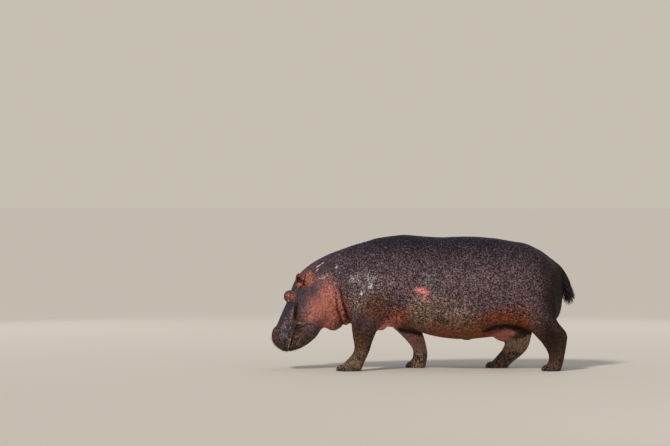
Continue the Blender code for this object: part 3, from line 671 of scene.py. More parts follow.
def lid_push(near):
    """How the lids close over the eyeball, leaving a slit, as moves in the eye's frame."""
    up, out = near[:, 1], near[:, 2]
    ring = lid_ring(near)
    reach = np.linalg.norm(near, axis=1)
    above = ease(up, -0.01, 0.01)
    relief = 0.003 * hump(ring, 1.35, 0.28)
    relief -= (0.0026 + 0.0022 * above) * hump(ring, 2.0, 0.22)
    relief += 0.003 * hump(ring, 2.55, 0.38) * (0.4 + 0.6 * above)
    relief -= 0.003 * hump(ring, 3.2, 0.3) * above
    lid = np.maximum(EYE_RADIUS + LID_THICKNESS - reach, 0.0) * ease(ring, 4.0, 2.6) + relief
    shut = ease(ring, 0.88, 1.08)
    move = shut * lid + (1.0 - shut) * (0.72 * EYE_RADIUS - reach)
    close = (out > 0.0) & (reach < EYE_REACH)
    return near / reach[:, None] * np.where(close, move, 0.0)[:, None]


def nostril_lift(near):
    """The slit of a nostril and its raised rim, in the nostril's frame."""
    along, across, out = near.T
    half_length, half_width = NOSTRIL_OPENING
    bent = across + 9.0 * along**2 - 0.004
    ring = np.hypot(along / half_length, bent / half_width)
    close = (np.abs(out) < 0.05) & (ring < 6.0)
    return close * (0.006 * hump(ring, 2.1, 0.8) - NOSTRIL_DEPTH * ease(ring, 1.25, 0.55))


def foot(leg):
    """The middles of a foot's nails, and the hub that its toes spread from."""
    nails = [box_middle(f"{leg}_nail_{toe}") for toe in TOES]
    back = Vector((0.81 * (nails[3] - nails[0]).length, 0.0, 0.0))
    return nails, (nails[1] + nails[2]) / 2.0 + back


def toe_clefts(points):
    """Clefts between the toes, and the fold of skin round each nail."""
    x, y, z = points.T
    height = np.zeros(len(points))
    for leg in LEGS:
        nails, hub = foot(leg)
        for first, second in zip(nails, nails[1:]):
            way = ((first + second) / 2.0 - hub).xy.normalized()
            away_x, away_y = x - hub.x, y - hub.y
            ahead = away_x * way.x + away_y * way.y
            across = away_x * way.y - away_y * way.x
            bed = hump(across, 0.0, 0.0085) * ease(ahead, 0.055, 0.11) * ease(ahead, 0.28, 0.24)
            height -= 0.02 * bed * ease(z, 0.125, 0.065)
        for nail in nails:
            gap = np.linalg.norm(points - np.array(nail), axis=1)
            height += 0.007 * hump(gap, 0.031, 0.008) * (0.4 + 0.6 * ease(z, 0.02, 0.04))
            knuckle = hub + (nail - hub) * 0.8
            knuckle.z = 0.062
            height += 0.008 * hump(np.linalg.norm(points - np.array(knuckle), axis=1), 0.0, 0.026)
    return height


def tail_share(points):
    """How far down the tail each point is, from 0 to 1, and 0 off the tail."""
    x, y, z = points.T
    share = np.zeros(len(points))
    rump_x = np.interp(z, (0.6, 1.0, 1.1, 1.2), (1.517, 1.51, 1.45, 1.35))
    near = (x > rump_x) & (np.abs(y) < 0.055) & (z > 0.6)
    gap, along = along_path(points[near][:, [0, 2]], flowing(TAIL_PATH))
    share[near] = np.where(gap < 0.09, along, 0.0)
    return share


def limb_rings(points):
    """Fine rings of slack skin round wrists, ankles and hocks, 24 mm apart."""
    x, _, z = points.T
    wave = np.sin(FULL_TURN * z / 0.024 + 2.6 * wandering(points, 0.09))
    here = ease(x, -1.15, -1.1) * ease(z, 0.075, 0.12) * ease(z, 0.36, 0.24)
    return 0.002 * np.minimum(wave, 0.2) * here


def tail_rings(points):
    share = tail_share(points)
    wave = np.minimum(np.sin(FULL_TURN * share * TAIL_RINGS), 0.3)
    return 0.0024 * wave * ease(share, 0.18, 0.3) * ease(share, 0.85, 0.72)


def slack_skin(points):
    """Wrinkles that run across the way the skin is stretched: upright on the neck and
    shoulder, level on the belly, and all ways on the cheeks and muzzle."""
    x, y, z = points.T
    neck = ease(x, -1.18, -0.98) * ease(x, -0.45, -0.7) * ease(z, 0.36, 0.5)
    belly = ease(x, -0.35, 0.0) * ease(x, 1.3, 1.0) * ease(z, 0.8, 0.45) * ease(z, 0.28, 0.34)
    face = ease(x, -1.05, -1.25)
    height = 0.0025 * wandering(points, 0.1) * (1.0 - face) * ease(z, 0.25, 0.4)
    for depth, size, least, where in (
        (0.0035, (0.022, 0.1, 0.16), 0.8, neck),
        (0.0025, (0.13, 0.06, 0.024), 0.8, belly),
        (0.0034, (0.024,), 0.74, face),
    ):
        height -= depth * ease(1.0 - np.abs(wandering(points, *size)), least, 1.0) * where
    return height


def furrow_height(points, widest=1.0):
    """The height of all furrows and ridges together, or only of those up to a width."""
    wobble = np.stack([wandering(points, 0.07), wandering(points + 5.0, 0.07)], axis=1)
    places = points[:, [0, 2]] + 0.006 * wobble
    side = np.abs(points[:, 1])
    height = toe_clefts(points) + limb_rings(points) + tail_rings(points) + slack_skin(points)
    for row in FURROWS.values():
        width, depth, least_side, *path = np.array(row) / 1000.0
        if width <= widest:
            gate = ease(side, least_side - 0.03, least_side + 0.02) if least_side else 1.0
            height += furrow(places, flowing(np.reshape(path, (-1, 2))), width, depth) * gate
    return height


def slimmed_tail(points):
    """The tail's flesh, thinner and shorter than its outline with bristles."""
    share = tail_share(points)
    on_tail = share > 0
    path = flowing(TAIL_PATH)
    middle_x = np.interp(share * (len(path) - 1), np.arange(len(path)), path[:, 0])
    thin = 1.0 - 0.16 * ease(share, 0.5, 0.95)
    found = points.copy()
    found[:, 0] = np.where(on_tail, middle_x + (points[:, 0] - middle_x) * thin, points[:, 0])
    found[:, 1] = points[:, 1] * np.where(on_tail, 0.5 + 0.5 * thin, 1.0)
    tip = on_tail & (points[:, 2] < TAIL_TIP)
    found[:, 2] = np.where(tip, TAIL_TIP - (TAIL_TIP - points[:, 2]) * 0.62, points[:, 2])
    return found


def thinned(mesh):
    """The hide with fewer triangles where it is smooth."""
    obj = place("thick_hide", mesh)
    points = read_points(mesh)
    x, _, z = points.T
    head = ease(x, -0.95, -1.22)
    feet = 0.75 * ease(z, 0.2, 0.1)
    neck = 0.5 * ease(np.abs(x + 0.86), 0.16, 0.08)
    tail = 0.6 * ease(tail_share(points), 0.05, 0.15)
    loose = 1.0 - 0.92 * np.maximum.reduce([head, feet, neck, tail])
    group = obj.vertex_groups.new(name="loose")
    grades = 12
    steps = np.round(loose * grades).astype(int)
    for step in np.unique(steps):
        group.add(np.flatnonzero(steps == step).tolist(), max(step, 1) / grades, "REPLACE")
    decimate = obj.modifiers.new("thin", "DECIMATE")
    decimate.ratio = HIDE_TRIANGLES / (2.0 * len(mesh.polygons))
    decimate.vertex_group = group.name
    decimate.vertex_group_factor = 0.02
    return settled(obj)


def sculpted(voxel, depth):
    """The whole hide's mesh with all its relief."""
    ears = [mass for sign in SIDES.values() for mass in ear_masses(sign)]
    mesh = fused([rough_form(), *ears], voxel)
    links = read_links(mesh)
    points = softened(slimmed_tail(read_points(mesh)), links, 0.8, 3)
    write_points(mesh, points)
    push = read_normals(mesh) * depth * furrow_height(points)[:, None]
    for sign in SIDES.values():
        push += lid_push(in_eye(points, sign)) @ np.array(eye_frame(sign)).T
        push += nostril_lift(in_nostril(points, sign))[:, None] * np.array(nostril_frame(sign).col[2])
    points = averaged(points + push, links, 0.5, 1)
    points[:, 2] = np.maximum(points[:, 2], 0.0)
    write_points(mesh, points)
    return thinned(mesh)


# ---------------------------------------------------------------- markings
def spots(points, *ellipses):
    """How strongly each point lies in the ellipses seen from the side."""
    x, y, z = points.T
    value = np.zeros(len(points))
    for ellipse in ellipses:
        *sizes, strength, lean, least_side = (*ellipse, 0.0, 0.0)[:7]
        middle_x, middle_z, length, height, least_side = np.array([*sizes, least_side]) / 1000.0
        turn = math.radians(lean)
        along = (x - middle_x) * math.cos(turn) + (z - middle_z) * math.sin(turn)
        across = (z - middle_z) * math.cos(turn) - (x - middle_x) * math.sin(turn)
        there = strength * np.exp(-((along / length) ** 2) - (across / height) ** 2)
        value = np.maximum(value, there * ease(np.abs(y), least_side - 0.04, least_side))
    return value


def raise_to(values, name, least):
    """Gives each point at least this much of one kind of skin."""
    values[name] = np.maximum(values[name], least)


def mark_head(values, points, normals):
    """Marks the lids, nostrils and ears of both sides, with painted shade and painted highlights."""
    for sign in SIDES.values():
        near = in_eye(points, sign)
        up = near[:, 1]
        ring = lid_ring(near)
        close = np.linalg.norm(near, axis=1) < EYE_REACH
        # Painted shade in the lids' folds and in the opening round the eye.
        lid_fold_shade = hump(ring, 2.0, 0.25) + hump(ring, 3.2, 0.3) + (ring < 1.05)
        lid_fold_shade += hump(ring, 1.3, 0.25) * ease(up, 0.0, 0.006)
        raise_to(values, "crack_and_fold_shade", 0.8 * lid_fold_shade * close)
        # A painted glint along the wet lower lid.
        raise_to(values, "graze_and_glint", 0.75 * hump(ring, 1.55, 0.25) * close * ease(up, 0.0, -0.008))
        # Painted shade down in the nostril.
        sunk = -nostril_lift(in_nostril(points, sign))
        raise_to(values, "crack_and_fold_shade", np.clip(sunk / 0.008, 0.0, 1.0))
        along, across, out = in_ear(points, sign).T
        facing = normals @ np.array(ear_frame(sign).col[2])
        inside = (along > 0.03) & (along < 0.19) & (np.abs(across) < 0.055) & (np.abs(out) < 0.05)
        hollow = inside * ease(facing, -0.2, 0.4)
        for name, value in (("blush", 0.42 * hollow), ("rust_and_bounce", hollow), ("slate_and_sky_sheen", 1.0 - hollow)):
            values[name] = np.where(inside, value, values[name])
        # Painted shade deep in the ear's hollow.
        raise_to(values, "crack_and_fold_shade", 0.95 * hollow * ease(out, 0.002, -0.012) * ease(along, 0.17, 0.12))
        # A painted highlight along the hollow's lower rim.
        raise_to(values, "graze_and_glint", 0.5 * hollow * hump(along, 0.062, 0.012))


def mark_limbs(values, points, normals):
    """Marks the legs, the belly between them and the tail, and returns how far each point
    lies on a leg's inner face."""
    x, y, z = points.T
    inward = ease(np.sign(y) * normals[:, 1], 0.0, -0.6)
    hind = ease(x, 0.3, 0.6)
    # The shade of the body on the tops of the legs' inner faces.
    shade = np.maximum(
        ease(z + 0.15 * (x + 0.2), 0.365, 0.405) * ease(x, -0.32, -0.22) * ease(x, 0.15, 0.05),
        ease(z, 0.345, 0.385) * ease(x, 0.88, 0.96) * ease(x, 1.4, 1.3),
    )
    raise_to(values, "crack_and_fold_shade", 1.1 * inward * shade * ease(z, 0.56, 0.5))
    # Mud up the legs, dusty on the feet, and on the chin.
    not_head = ease(x, -1.05, -0.95)
    on_leg = ease(z, 0.85, 0.2) * not_head
    raise_to(values, "mud", np.maximum(on_leg, 0.8 * ease(x, -1.1, -1.3) * ease(z, 0.62, 0.25)))
    raise_to(values, "olive_and_painted_light", 0.42 * on_leg * ease(z, 0.4, 0.08) * (1.0 - 0.6 * ease(x, 1.1, 1.3)))
    # Orange-brown and painted bounce light on the belly's down-turned faces, stopping at the right legs.
    belly = ease(normals[:, 2], -0.2, -0.9) * ease(z, 0.28, 0.33)
    belly *= ease(x, -0.45, -0.3) * ease(x, 1.3, 1.15)
    right_legs = np.maximum(np.exp(-(((x + 0.14) / 0.27) ** 4)), np.exp(-(((x - 1.05) / 0.24) ** 4)))
    right_legs *= ease(y, 0.08, 0.2)
    belly *= 1.0 - right_legs
    values["rust_and_bounce"] *= 1.0 - 0.9 * right_legs
    raise_to(values, "rust_and_bounce", 1.2 * belly)
    values["mud"] *= 1.0 - 0.9 * belly
    # The legs' inner faces are pinker, and painted paler as light where the body shades them.
    inner = inward * ease(z, 0.1, 0.22) * ease(z, 0.6, 0.5) * not_head
    raise_to(values, "blush", 0.46 * inner * (1.0 - 0.6 * hind))
    raise_to(values, "olive_and_painted_light", 1.6 * inner * (1.0 - 0.45 * hind))
    raise_to(values, "bloom_and_sheen", 0.4 * inner * (1.0 - hind))
    # The tail darkens to its tip, between paler rings.
    down = tail_share(points)
    crest = ease(tail_rings(points), -0.001, 0.0006)
    values["tip"] = ease(down, 0.1, 0.45) * (1.0 - 0.7 * crest)
    raise_to(values, "olive_and_painted_light", 0.8 * crest * ease(down, 0.15, 0.5))
    return inner


def write_markings(mesh):
    """Keeps on each point of the hide how much of each kind of skin, painted shade and highlight it has."""
    points = read_points(mesh)
    normals = read_normals(mesh)
    x, y, z = points.T
    values = {name: spots(points, *ellipses) for name, ellipses in MARKINGS.items()}
    for name, ellipses in LEFT_MARKINGS.items():
        raise_to(values, name, spots(points, *ellipses) * (y < 0.0))
    # The orbits are pink on the outside only.
    facing_out = np.sign(y) * normals[:, 1]
    at_orbit = hump(x, -1.435, 0.09) * hump(z, 0.8, 0.09)
    for name in ("blush", "rust_and_bounce"):
        values[name] *= 1.0 - 0.75 * at_orbit * ease(facing_out, 0.5, -0.1)
    near_middle = ease(np.abs(y), 0.33, 0.25)
    groin = spots(points, GROIN) * near_middle
    raise_to(values, "blush", groin)
    # Painted shade behind the groin, on the faces it shelters.
    sheltered = np.maximum(ease(facing_out, 0.0, -0.6), near_middle)
    raise_to(values, "crack_and_fold_shade", spots(points, GROIN_SHADE) * sheltered)
    # Painted shade in narrow furrows, darker where they are deeper.
    raise_to(values, "crack_and_fold_shade", np.clip((-furrow_height(points, NARROW) - 0.005) / 0.017, 0.0, 1.0))
    mark_head(values, points, normals)
    inner = mark_limbs(values, points, normals)
    values["low"] = np.clip((1.4 - z) / 0.4, 0.0, 1.0)
    smooth = np.maximum.reduce([hump(x, -1.12, 0.2) * hump(z, 0.7, 0.27), groin, 0.6 * inner])
    muzzle = ease(x, -1.32, -1.42) * ease(z, 0.68, 0.52)
    flank = ease(z, 0.4, 0.65) * ease(x, -1.1, -0.85)
    values["speckled"] = 0.8 + 0.2 * flank - 0.45 * smooth + 0.15 * muzzle
    # Sparse pale specks over the body are painted glints.
    body = ease(z, 0.5, 0.75) * ease(x, -1.1, -0.9) * ease(x, 1.4, 1.15)
    values["painted_glints"] = 0.1 * body * (1.0 - 0.05 * ease(z, 1.2, 1.38))
    for name, value in values.items():
        layer = mesh.attributes.new(name, "FLOAT", "POINT")
        layer.data.foreach_set("value", value.astype(np.float32))


# ---------------------------------------------------------------- materials
# A Mix node's sockets for colours.
FACTOR, A, B, RESULT = 0, 6, 7, 2


def add_node(tree, kind, inputs=(), output=0, **settings):
    """Adds a node with its settings, and its inputs as values or as sockets to link from.
    Returns one of its outputs."""
    node = tree.nodes.new("ShaderNode" + kind)
    for name, value in settings.items():
        setattr(node, name, value)
    for name, value in dict(inputs).items():
        socket = node.inputs[name]
        if isinstance(value, bpy.types.NodeSocket):
            tree.links.new(value, socket)
        elif socket.type == "RGBA":
            socket.default_value = (*value, 1.0)
        else:
            socket.default_value = value
    return node.outputs[output] if node.outputs else None


def new_material(name):
    """An empty material, its node tree, and the place on the object that patterns follow."""
    material = bpy.data.materials.new(name)
    material.use_nodes = True
    material.node_tree.nodes.clear()
    return material, material.node_tree, add_node(material.node_tree, "TexCoord", output="Object")


def surfaced(material, **inputs):
    """Ends a material with its shader. An underscore stands for a space in an input's name."""
    inputs = {name.replace("_", " "): value for name, value in inputs.items()}
    shader = add_node(material.node_tree, "BsdfPrincipled", inputs)
    add_node(material.node_tree, "OutputMaterial", {"Surface": shader})
    return material


def coated(tree, below, colour, name, ragged, noise, strength):
    """Skin of one colour over another where the hide's value of that name is high, with
    an edge that the noise makes ragged. Returns the colour and the share of the coat."""
    value = add_node(tree, "Attribute", output="Fac", attribute_name=name)
    rough = add_node(tree, "Math", {0: noise, 1: ragged, 2: 1.0 - 0.5 * ragged}, operation="MULTIPLY_ADD")
    total = add_node(tree, "Math", {0: value, 1: rough}, operation="MULTIPLY")
    steps = {"Value": total, "From Min": 0.08, "From Max": 0.95, "To Max": strength}
    share = add_node(tree, "MapRange", steps, interpolation_type="SMOOTHSTEP")
    return add_node(tree, "Mix", {FACTOR: share, A: below, B: colour}, RESULT, data_type="RGBA"), share


def hide_material(chosen):
    """Bare hide, 30 to 50 mm thick and nearly hairless, kept damp by its own oily sweat: a
    pebbled surface with a soft, broken gloss, crossed by fine cracks."""
    material, tree, where = new_material("damp_bare_hide")
    # Blotches of pigment are 80 to 250 mm across, mottling is 15 to 40 mm and freckles
    # are about 8 mm, drawn at 11 mm so that they show.
    blotch, mottle, freckle = (
        add_node(tree, "TexNoise", {"Vector": where, "Scale": scale, "Detail": detail, "Roughness": rough})
        for scale, detail, rough in ((6.0, 4.0, 0.6), (30.0, 2.0, 0.6), (62.0, 1.0, 0.5))
    )
    # The hide's pebbles are 8 to 12 mm across, drawn at 15 mm so that they show.
    pebble = add_node(tree, "TexVoronoi", {"Vector": where, "Scale": 66.0}, feature="SMOOTH_F1")
    # Low on the flank, wide cracks outline plates 26 mm across, and on the belly they open
    # level. Fine cracks outline cells of about 9 mm everywhere, drawn at 18 mm so that
    # they show.
    bend = add_node(tree, "TexNoise", {"Vector": where, "Scale": 34.0}, "Color")
    bend = add_node(tree, "VectorMath", {0: bend, 1: (0.017,) * 3}, operation="MULTIPLY")
    bent = add_node(tree, "VectorMath", {0: where, 1: bend}, operation="ADD")
    level = add_node(tree, "Mapping", {"Vector": bent, "Scale": (26.0, 40.0, 72.0)})
    plates, cells, dashes = (
        add_node(tree, "TexVoronoi", {"Vector": spot, "Scale": scale}, feature="DISTANCE_TO_EDGE")
        for spot, scale in ((bent, 38.0), (bent, 54.0), (level, 1.0))
    )
    cells = add_node(tree, "Math", {0: freckle, 1: 0.36, 2: cells}, operation="MULTIPLY_ADD")
    falling = {"To Min": 1.0, "To Max": 0.0}
    crack, dash, gap = (
        add_node(tree, "MapRange", {"Value": edge, "From Min": near, "From Max": far, **falling})
        for edge, near, far in ((plates, 0.03, 0.12), (dashes, 0.03, 0.2), (cells, 0.21, 0.45))
    )
    cracked, low, speckled = (
        add_node(tree, "Attribute", output="Fac", attribute_name=name)
        for name in ("cracked", "low", "speckled")
    )
    both = add_node(tree, "Mix", {0: low, 2: crack, 3: dash}, data_type="FLOAT")

    # The hide is darker towards the top; the back's blue tint is a painted reflection of the sky.
    colour = add_node(tree, "Mix", {FACTOR: low, A: chosen.back, B: chosen.flank}, RESULT, data_type="RGBA")
    for name, skin, ragged, noise, strength in (
        ("mud", chosen.mud, 1.6, blotch, 0.95),
        ("rust_and_bounce", chosen.rust_and_bounce, 1.4, blotch, 0.95),
        ("olive_and_painted_light", chosen.olive_and_painted_light, 1.8, mottle, 0.85),
        ("slate_and_sky_sheen", chosen.slate_and_sky_sheen, 1.5, mottle, 0.9),
        ("umber_and_shade", chosen.umber_and_shade, 1.6, blotch, 0.9),
        ("bloom_and_sheen", chosen.bloom_and_sheen, 3.0, mottle, 0.8),
        ("blush", chosen.blush, 0.8, mottle, 0.95),
        ("tip", chosen.back, 0.4, mottle, 0.8),
    ):
        colour, _ = coated(tree, colour, skin, name, ragged, noise, strength)
    # Each tone of the mottling lightens or darkens what lies under it.
    for noise, swing in ((blotch, 1.3), (mottle, 0.9), (freckle, 3.3)):
        strength = add_node(tree, "Math", {0: speckled, 1: swing}, operation="MULTIPLY")
        centred = add_node(tree, "Math", {0: noise, 1: -0.5}, operation="ADD")
        tone = add_node(tree, "Math", {0: centred, 1: strength, 2: 1.0}, operation="MULTIPLY_ADD")
        colour = add_node(tree, "VectorMath", {0: colour, "Scale": tone}, operation="SCALE")
    fades = {"Value": mottle, "From Min": 0.35, "From Max": 0.65, "To Min": 1.0, "To Max": 0.6}
    patchy = add_node(tree, "Math", {0: add_node(tree, "MapRange", fades), 1: speckled}, operation="MULTIPLY")
    gap = add_node(tree, "Math", {0: gap, 1: patchy}, operation="MULTIPLY")
    amount = add_node(tree, "Math", {0: both, 1: cracked}, operation="MULTIPLY", use_clamp=True)
    amount = add_node(tree, "Math", {0: amount, 1: gap}, operation="MAXIMUM")
    colour = add_node(tree, "Mix", {FACTOR: amount, A: colour, B: chosen.crack_and_fold_shade}, RESULT, data_type="RGBA")
    # Painted shade in folds, hollows and under the body.
    colour, _ = coated(tree, colour, chosen.crack_and_fold_shade, "crack_and_fold_shade", 0.4, mottle, 0.92)
    # Painted glints as sparse pale specks.
    colour, _ = coated(tree, colour, chosen.bloom_and_sheen, "painted_glints", 26.0, freckle, 0.38)
    # The graze, and painted glints on the lower lids and the ears' rims.
    colour, graze_and_glint = coated(tree, colour, chosen.graze_and_glint, "graze_and_glint", 2.4, freckle, 1.0)
    # Pale flecks, and painted glints below the eyes and at the lip.
    colour, pale_fleck_share = coated(tree, colour, chosen.pale_flecks_and_glints, "pale_flecks_and_glints", 5.0, freckle, 0.9)

    # Height: pebbles, sunk along the cracks, and the mottling as slow unevenness. A graze and
    # painted glints on lids and ears are glossier than the hide; pale flecks and glints are duller.
    height = add_node(tree, "Math", {0: pebble, 1: -0.7, 2: mottle}, operation="MULTIPLY_ADD")
    height = add_node(tree, "Math", {0: amount, 1: -0.8, 2: height}, operation="MULTIPLY_ADD")
    bump = add_node(tree, "Bump", {"Strength": 1.0, "Distance": chosen.grain, "Height": height})
    sheen = {"Value": mottle, "From Min": 0.3, "From Max": 0.7, "To Min": 0.54, "To Max": 0.74}
    gloss = add_node(tree, "MapRange", sheen)
    for share, duller in ((pale_fleck_share, 0.35), (graze_and_glint, -0.12)):
        gloss = add_node(tree, "Math", {0: share, 1: duller, 2: gloss}, operation="MULTIPLY_ADD")
    return surfaced(
        material, Base_Color=colour, Roughness=gloss, Normal=bump, IOR=1.42, Specular_IOR_Level=0.15
    )


def eye_material(chosen):
    """A living eye, wet all over: a brown iris of fine fibres round a dark slit of a pupil,
    and a brownish white, under a mirror-smooth film of tears."""
    material, tree, where = new_material("wet_eye")
    across = add_node(tree, "Attribute", output="Fac", attribute_name="from_axis")
    slit = add_node(tree, "Attribute", output="Fac", attribute_name="from_slit")
    # The fibres are about 0.5 mm wide, drawn at 1 mm so that they show.
    fibres = add_node(tree, "TexNoise", {"Vector": where, "Scale": 900.0, "Detail": 2.0})
    rim = {"Value": across, "From Min": chosen.iris - 0.0012, "From Max": chosen.iris + 0.0008}
    pupil = {"Value": slit, "From Min": 0.85, "From Max": 1.1, "To Min": 1.0, "To Max": 0.0}
    colour = chosen.iris_colour
    for share, over in (
        (fibres, [min(1.0, 2.2 * c) for c in chosen.iris_colour]),
        (add_node(tree, "MapRange", rim), chosen.white),
        (add_node(tree, "MapRange", pupil), (0.002,) * 3),
    ):
        colour = add_node(tree, "Mix", {FACTOR: share, A: colour, B: over}, RESULT, data_type="RGBA")
    veins = add_node(tree, "MapRange", {"Value": fibres, "To Min": 0.22, "To Max": 0.3})
    tears = {"IOR": 1.376, "Coat_Weight": 1.0, "Coat_Roughness": 0.02}
    return surfaced(material, Base_Color=colour, Roughness=veins, **tears)


def lid_margin_material(chosen):
    """The wet pink edge of the lids and the film of tears below them: soft thin skin whose
    gloss is broken only by its fine wrinkles."""
    material, tree, where = new_material("wet_lid_margin")
    # The wrinkles are 1.5 mm apart.
    wrinkle = add_node(tree, "TexNoise", {"Vector": where, "Scale": 350.0, "Detail": 3.0})
    pink = {FACTOR: wrinkle, A: [0.35 * c for c in chosen.lid_margin], B: chosen.lid_margin}
    colour = add_node(tree, "Mix", pink, RESULT, data_type="RGBA")
    bump = add_node(tree, "Bump", {"Strength": 0.5, "Distance": 0.0006, "Height": wrinkle})
    return surfaced(material, Base_Color=colour, Roughness=0.12, Normal=bump, IOR=1.38, Coat_Weight=0.6)


def nail_material(chosen):
    """Dark keratin horn, ground dull by sand at its lower edge and faintly shiny above."""
    material, tree, where = new_material("worn_keratin")
    worn = add_node(tree, "Attribute", output="Fac", attribute_name="worn")
    # Scratches and grown-out bands are 2 to 4 mm apart.
    streaks = add_node(tree, "Mapping", {"Vector": where, "Scale": (160.0, 160.0, 420.0)})
    bands = add_node(tree, "TexNoise", {"Vector": streaks, "Scale": 1.0, "Detail": 3.0, "Roughness": 0.65})
    share = add_node(tree, "Math", {0: worn, 1: bands}, operation="MULTIPLY")
    colour = add_node(tree, "Mix", {FACTOR: share, A: chosen.horn, B: chosen.worn}, RESULT, data_type="RGBA")
    rough = add_node(tree, "MapRange", {"Value": share, "To Min": 0.3, "To Max": 0.75})
    bump = add_node(tree, "Bump", {"Strength": 0.5, "Distance": 0.001, "Height": bands})
    return surfaced(material, Base_Color=colour, Roughness=rough, Normal=bump, IOR=1.54)


def bristle_material(name, dark, tip):
    """Stiff keratin bristles: dark and lightly oiled at the root, drier and paler at the tip."""
    material, tree, _ = new_material(name)
    along = add_node(tree, "Attribute", output="Fac", attribute_name="along")
    colour = add_node(tree, "Mix", {FACTOR: along, A: dark, B: tip}, RESULT, data_type="RGBA")
    rough = add_node(tree, "MapRange", {"Value": along, "To Min": 0.4, "To Max": 0.65})
    return surfaced(material, Base_Color=colour, Roughness=rough, IOR=1.54)


def floor_material(chosen):
    """Matt studio floor paint, rolled on: even, with a roller's faint orange-peel grain."""
    material, tree, where = new_material("matt_floor_paint")
    # The roller's grain is 3 mm, drawn at 12 mm so that it shows.
    grain = add_node(tree, "TexNoise", {"Vector": where, "Scale": 80.0, "Detail": 2.0})
    bump = add_node(tree, "Bump", {"Strength": 0.1, "Distance": 0.001, "Height": grain})
    return surfaced(material, Base_Color=chosen.floor, Roughness=0.85, Normal=bump)


# ---------------------------------------------------------------- eyes
def eyeball(sign, pupil):
    """An eyeball with its cornea, which keeps how far each point is from its axis."""
    bm = bmesh.new()
    bmesh.ops.create_uvsphere(bm, u_segments=64, v_segments=48, radius=EYE_RADIUS)
    across = bm.verts.layers.float.new("from_axis")
    slit = bm.verts.layers.float.new("from_slit")
    for vertex in bm.verts:
        off = math.hypot(vertex.co.x, vertex.co.y)
        front = vertex.co.z > 0
        if front:
            vertex.co.z += 0.0022 * math.exp(-((off / 0.0105) ** 2))
        vertex[across] = off if front else 1.0
        vertex[slit] = math.hypot(vertex.co.x / pupil, vertex.co.y / (0.42 * pupil)) if front else 9.0
    bmesh.ops.transform(bm, matrix=eye_frame(sign).to_4x4(), verts=bm.verts)
    bmesh.ops.translate(bm, vec=eye_centre(sign), verts=bm.verts)
    return bm


def lid_margin(sign):
    """The wet edge of the lids: a thin ring laid on the eyeball round its opening."""
    half_length, half_height = (1.02 * half for half in EYE_OPENING)
    bm = bmesh.new()
    made = bmesh.ops.create_circle(bm, segments=10, radius=0.0019)["verts"]
    bmesh.ops.rotate(bm, verts=made, cent=(0, 0, 0), matrix=Matrix.Rotation(math.pi / 2, 3, "X"))
    bmesh.ops.translate(bm, verts=made, vec=(1.0, 0.0, 0.0))
    ring = {"axis": (0, 0, 1), "cent": (0, 0, 0), "angle": FULL_TURN, "steps": 56, "use_merge": True}
    bmesh.ops.spin(bm, geom=bm.edges[:] + bm.verts[:], **ring)
    for vertex in bm.verts:
        angle = math.atan2(vertex.co.y, vertex.co.x)
        thick = math.hypot(vertex.co.x, vertex.co.y) - 1.0
        along = half_length * math.cos(angle)
        lean = 1.0 if math.sin(angle) > 0.0 else LOWER_LID
        up = half_height * lean * math.sin(angle) - SLIT_SAG * abs(along)
        reach = 1.0 + thick / math.hypot(along, up)
        out = math.sqrt(max(EYE_RADIUS**2 - along**2 - up**2, 0.0)) + vertex.co.z
        vertex.co = eye_centre(sign) + eye_frame(sign) @ Vector((along * reach, up * reach, out - 0.0004))
    return bm


class HIPPO_OT_eyes(bpy.types.Operator):
    """Builds the two eyes and the wet edges of their lids"""

    bl_idname = "hippo.eyes"
    bl_label = "Eyes"

    def execute(self, context):
        chosen = context.scene.hippo_eyes
        wet = eye_material(chosen)
        pink = lid_margin_material(chosen)
        for side, sign in SIDES.items():
            stood_for(finish(f"eyeball_{side}", eyeball(sign, chosen.pupil)), wet, "eye", f"eye_{side}")
            stood_for(finish(f"lid_margin_{side}", lid_margin(sign)), pink, "ear_skin")
        return {"FINISHED"}


# ---------------------------------------------------------------- nails
def foot_nails(leg, ridge):
    """A foot's four broad blunt nails: rounded blocks, flat in front and narrower above,
    with growth ridges and a ground-down edge."""
    nails, hub = foot(leg)
    bm = bmesh.new()
    worn = bm.verts.layers.float.new("worn")
    for centre, toe in zip(nails, TOES):
        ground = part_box(f"{leg}_nail_{toe}")[0].z
        out = Vector((centre.x - hub.x, centre.y - hub.y, 0.0)).normalized()
        across = Vector((-out.y, out.x, 0.0))
        for vertex in bmesh.ops.create_uvsphere(bm, u_segments=32, v_segments=24, radius=1.0)["verts"]:
            blunt = sum(abs(c) ** 3.2 for c in vertex.co) ** (1.0 / 3.2)
            forward, side, up = vertex.co / blunt
            side *= 1.0 - 0.14 * (up + 1.0)
            forward -= 0.16 * (up + 1.0) + 0.12 * side * side
            swell = ridge * math.sin(30.0 * up + 2.0 * side) * max(forward, 0.0)
            vertex[worn] = max(0.0, -up - 0.2)
            vertex.co = centre + out * (0.0175 * forward + swell - 0.001) + across * (0.0275 * side)
            vertex.co.z = max(vertex.co.z + 0.0205 * up, ground)
    return bm


class HIPPO_OT_nails(bpy.types.Operator):
    """Builds the four nails of each foot"""

    bl_idname = "hippo.nails"
    bl_label = "Nails"

    def execute(self, context):
        chosen = context.scene.hippo_nails
        horn = nail_material(chosen)
        for leg in LEGS:
            nails = place(f"{leg}_nails", mesh_of(foot_nails(leg, chosen.ridge), f"{leg}_nails"))
            stood_for(nails, horn, "nail", *(f"{leg}_nail_{toe}" for toe in TOES))
        return {"FINISHED"}


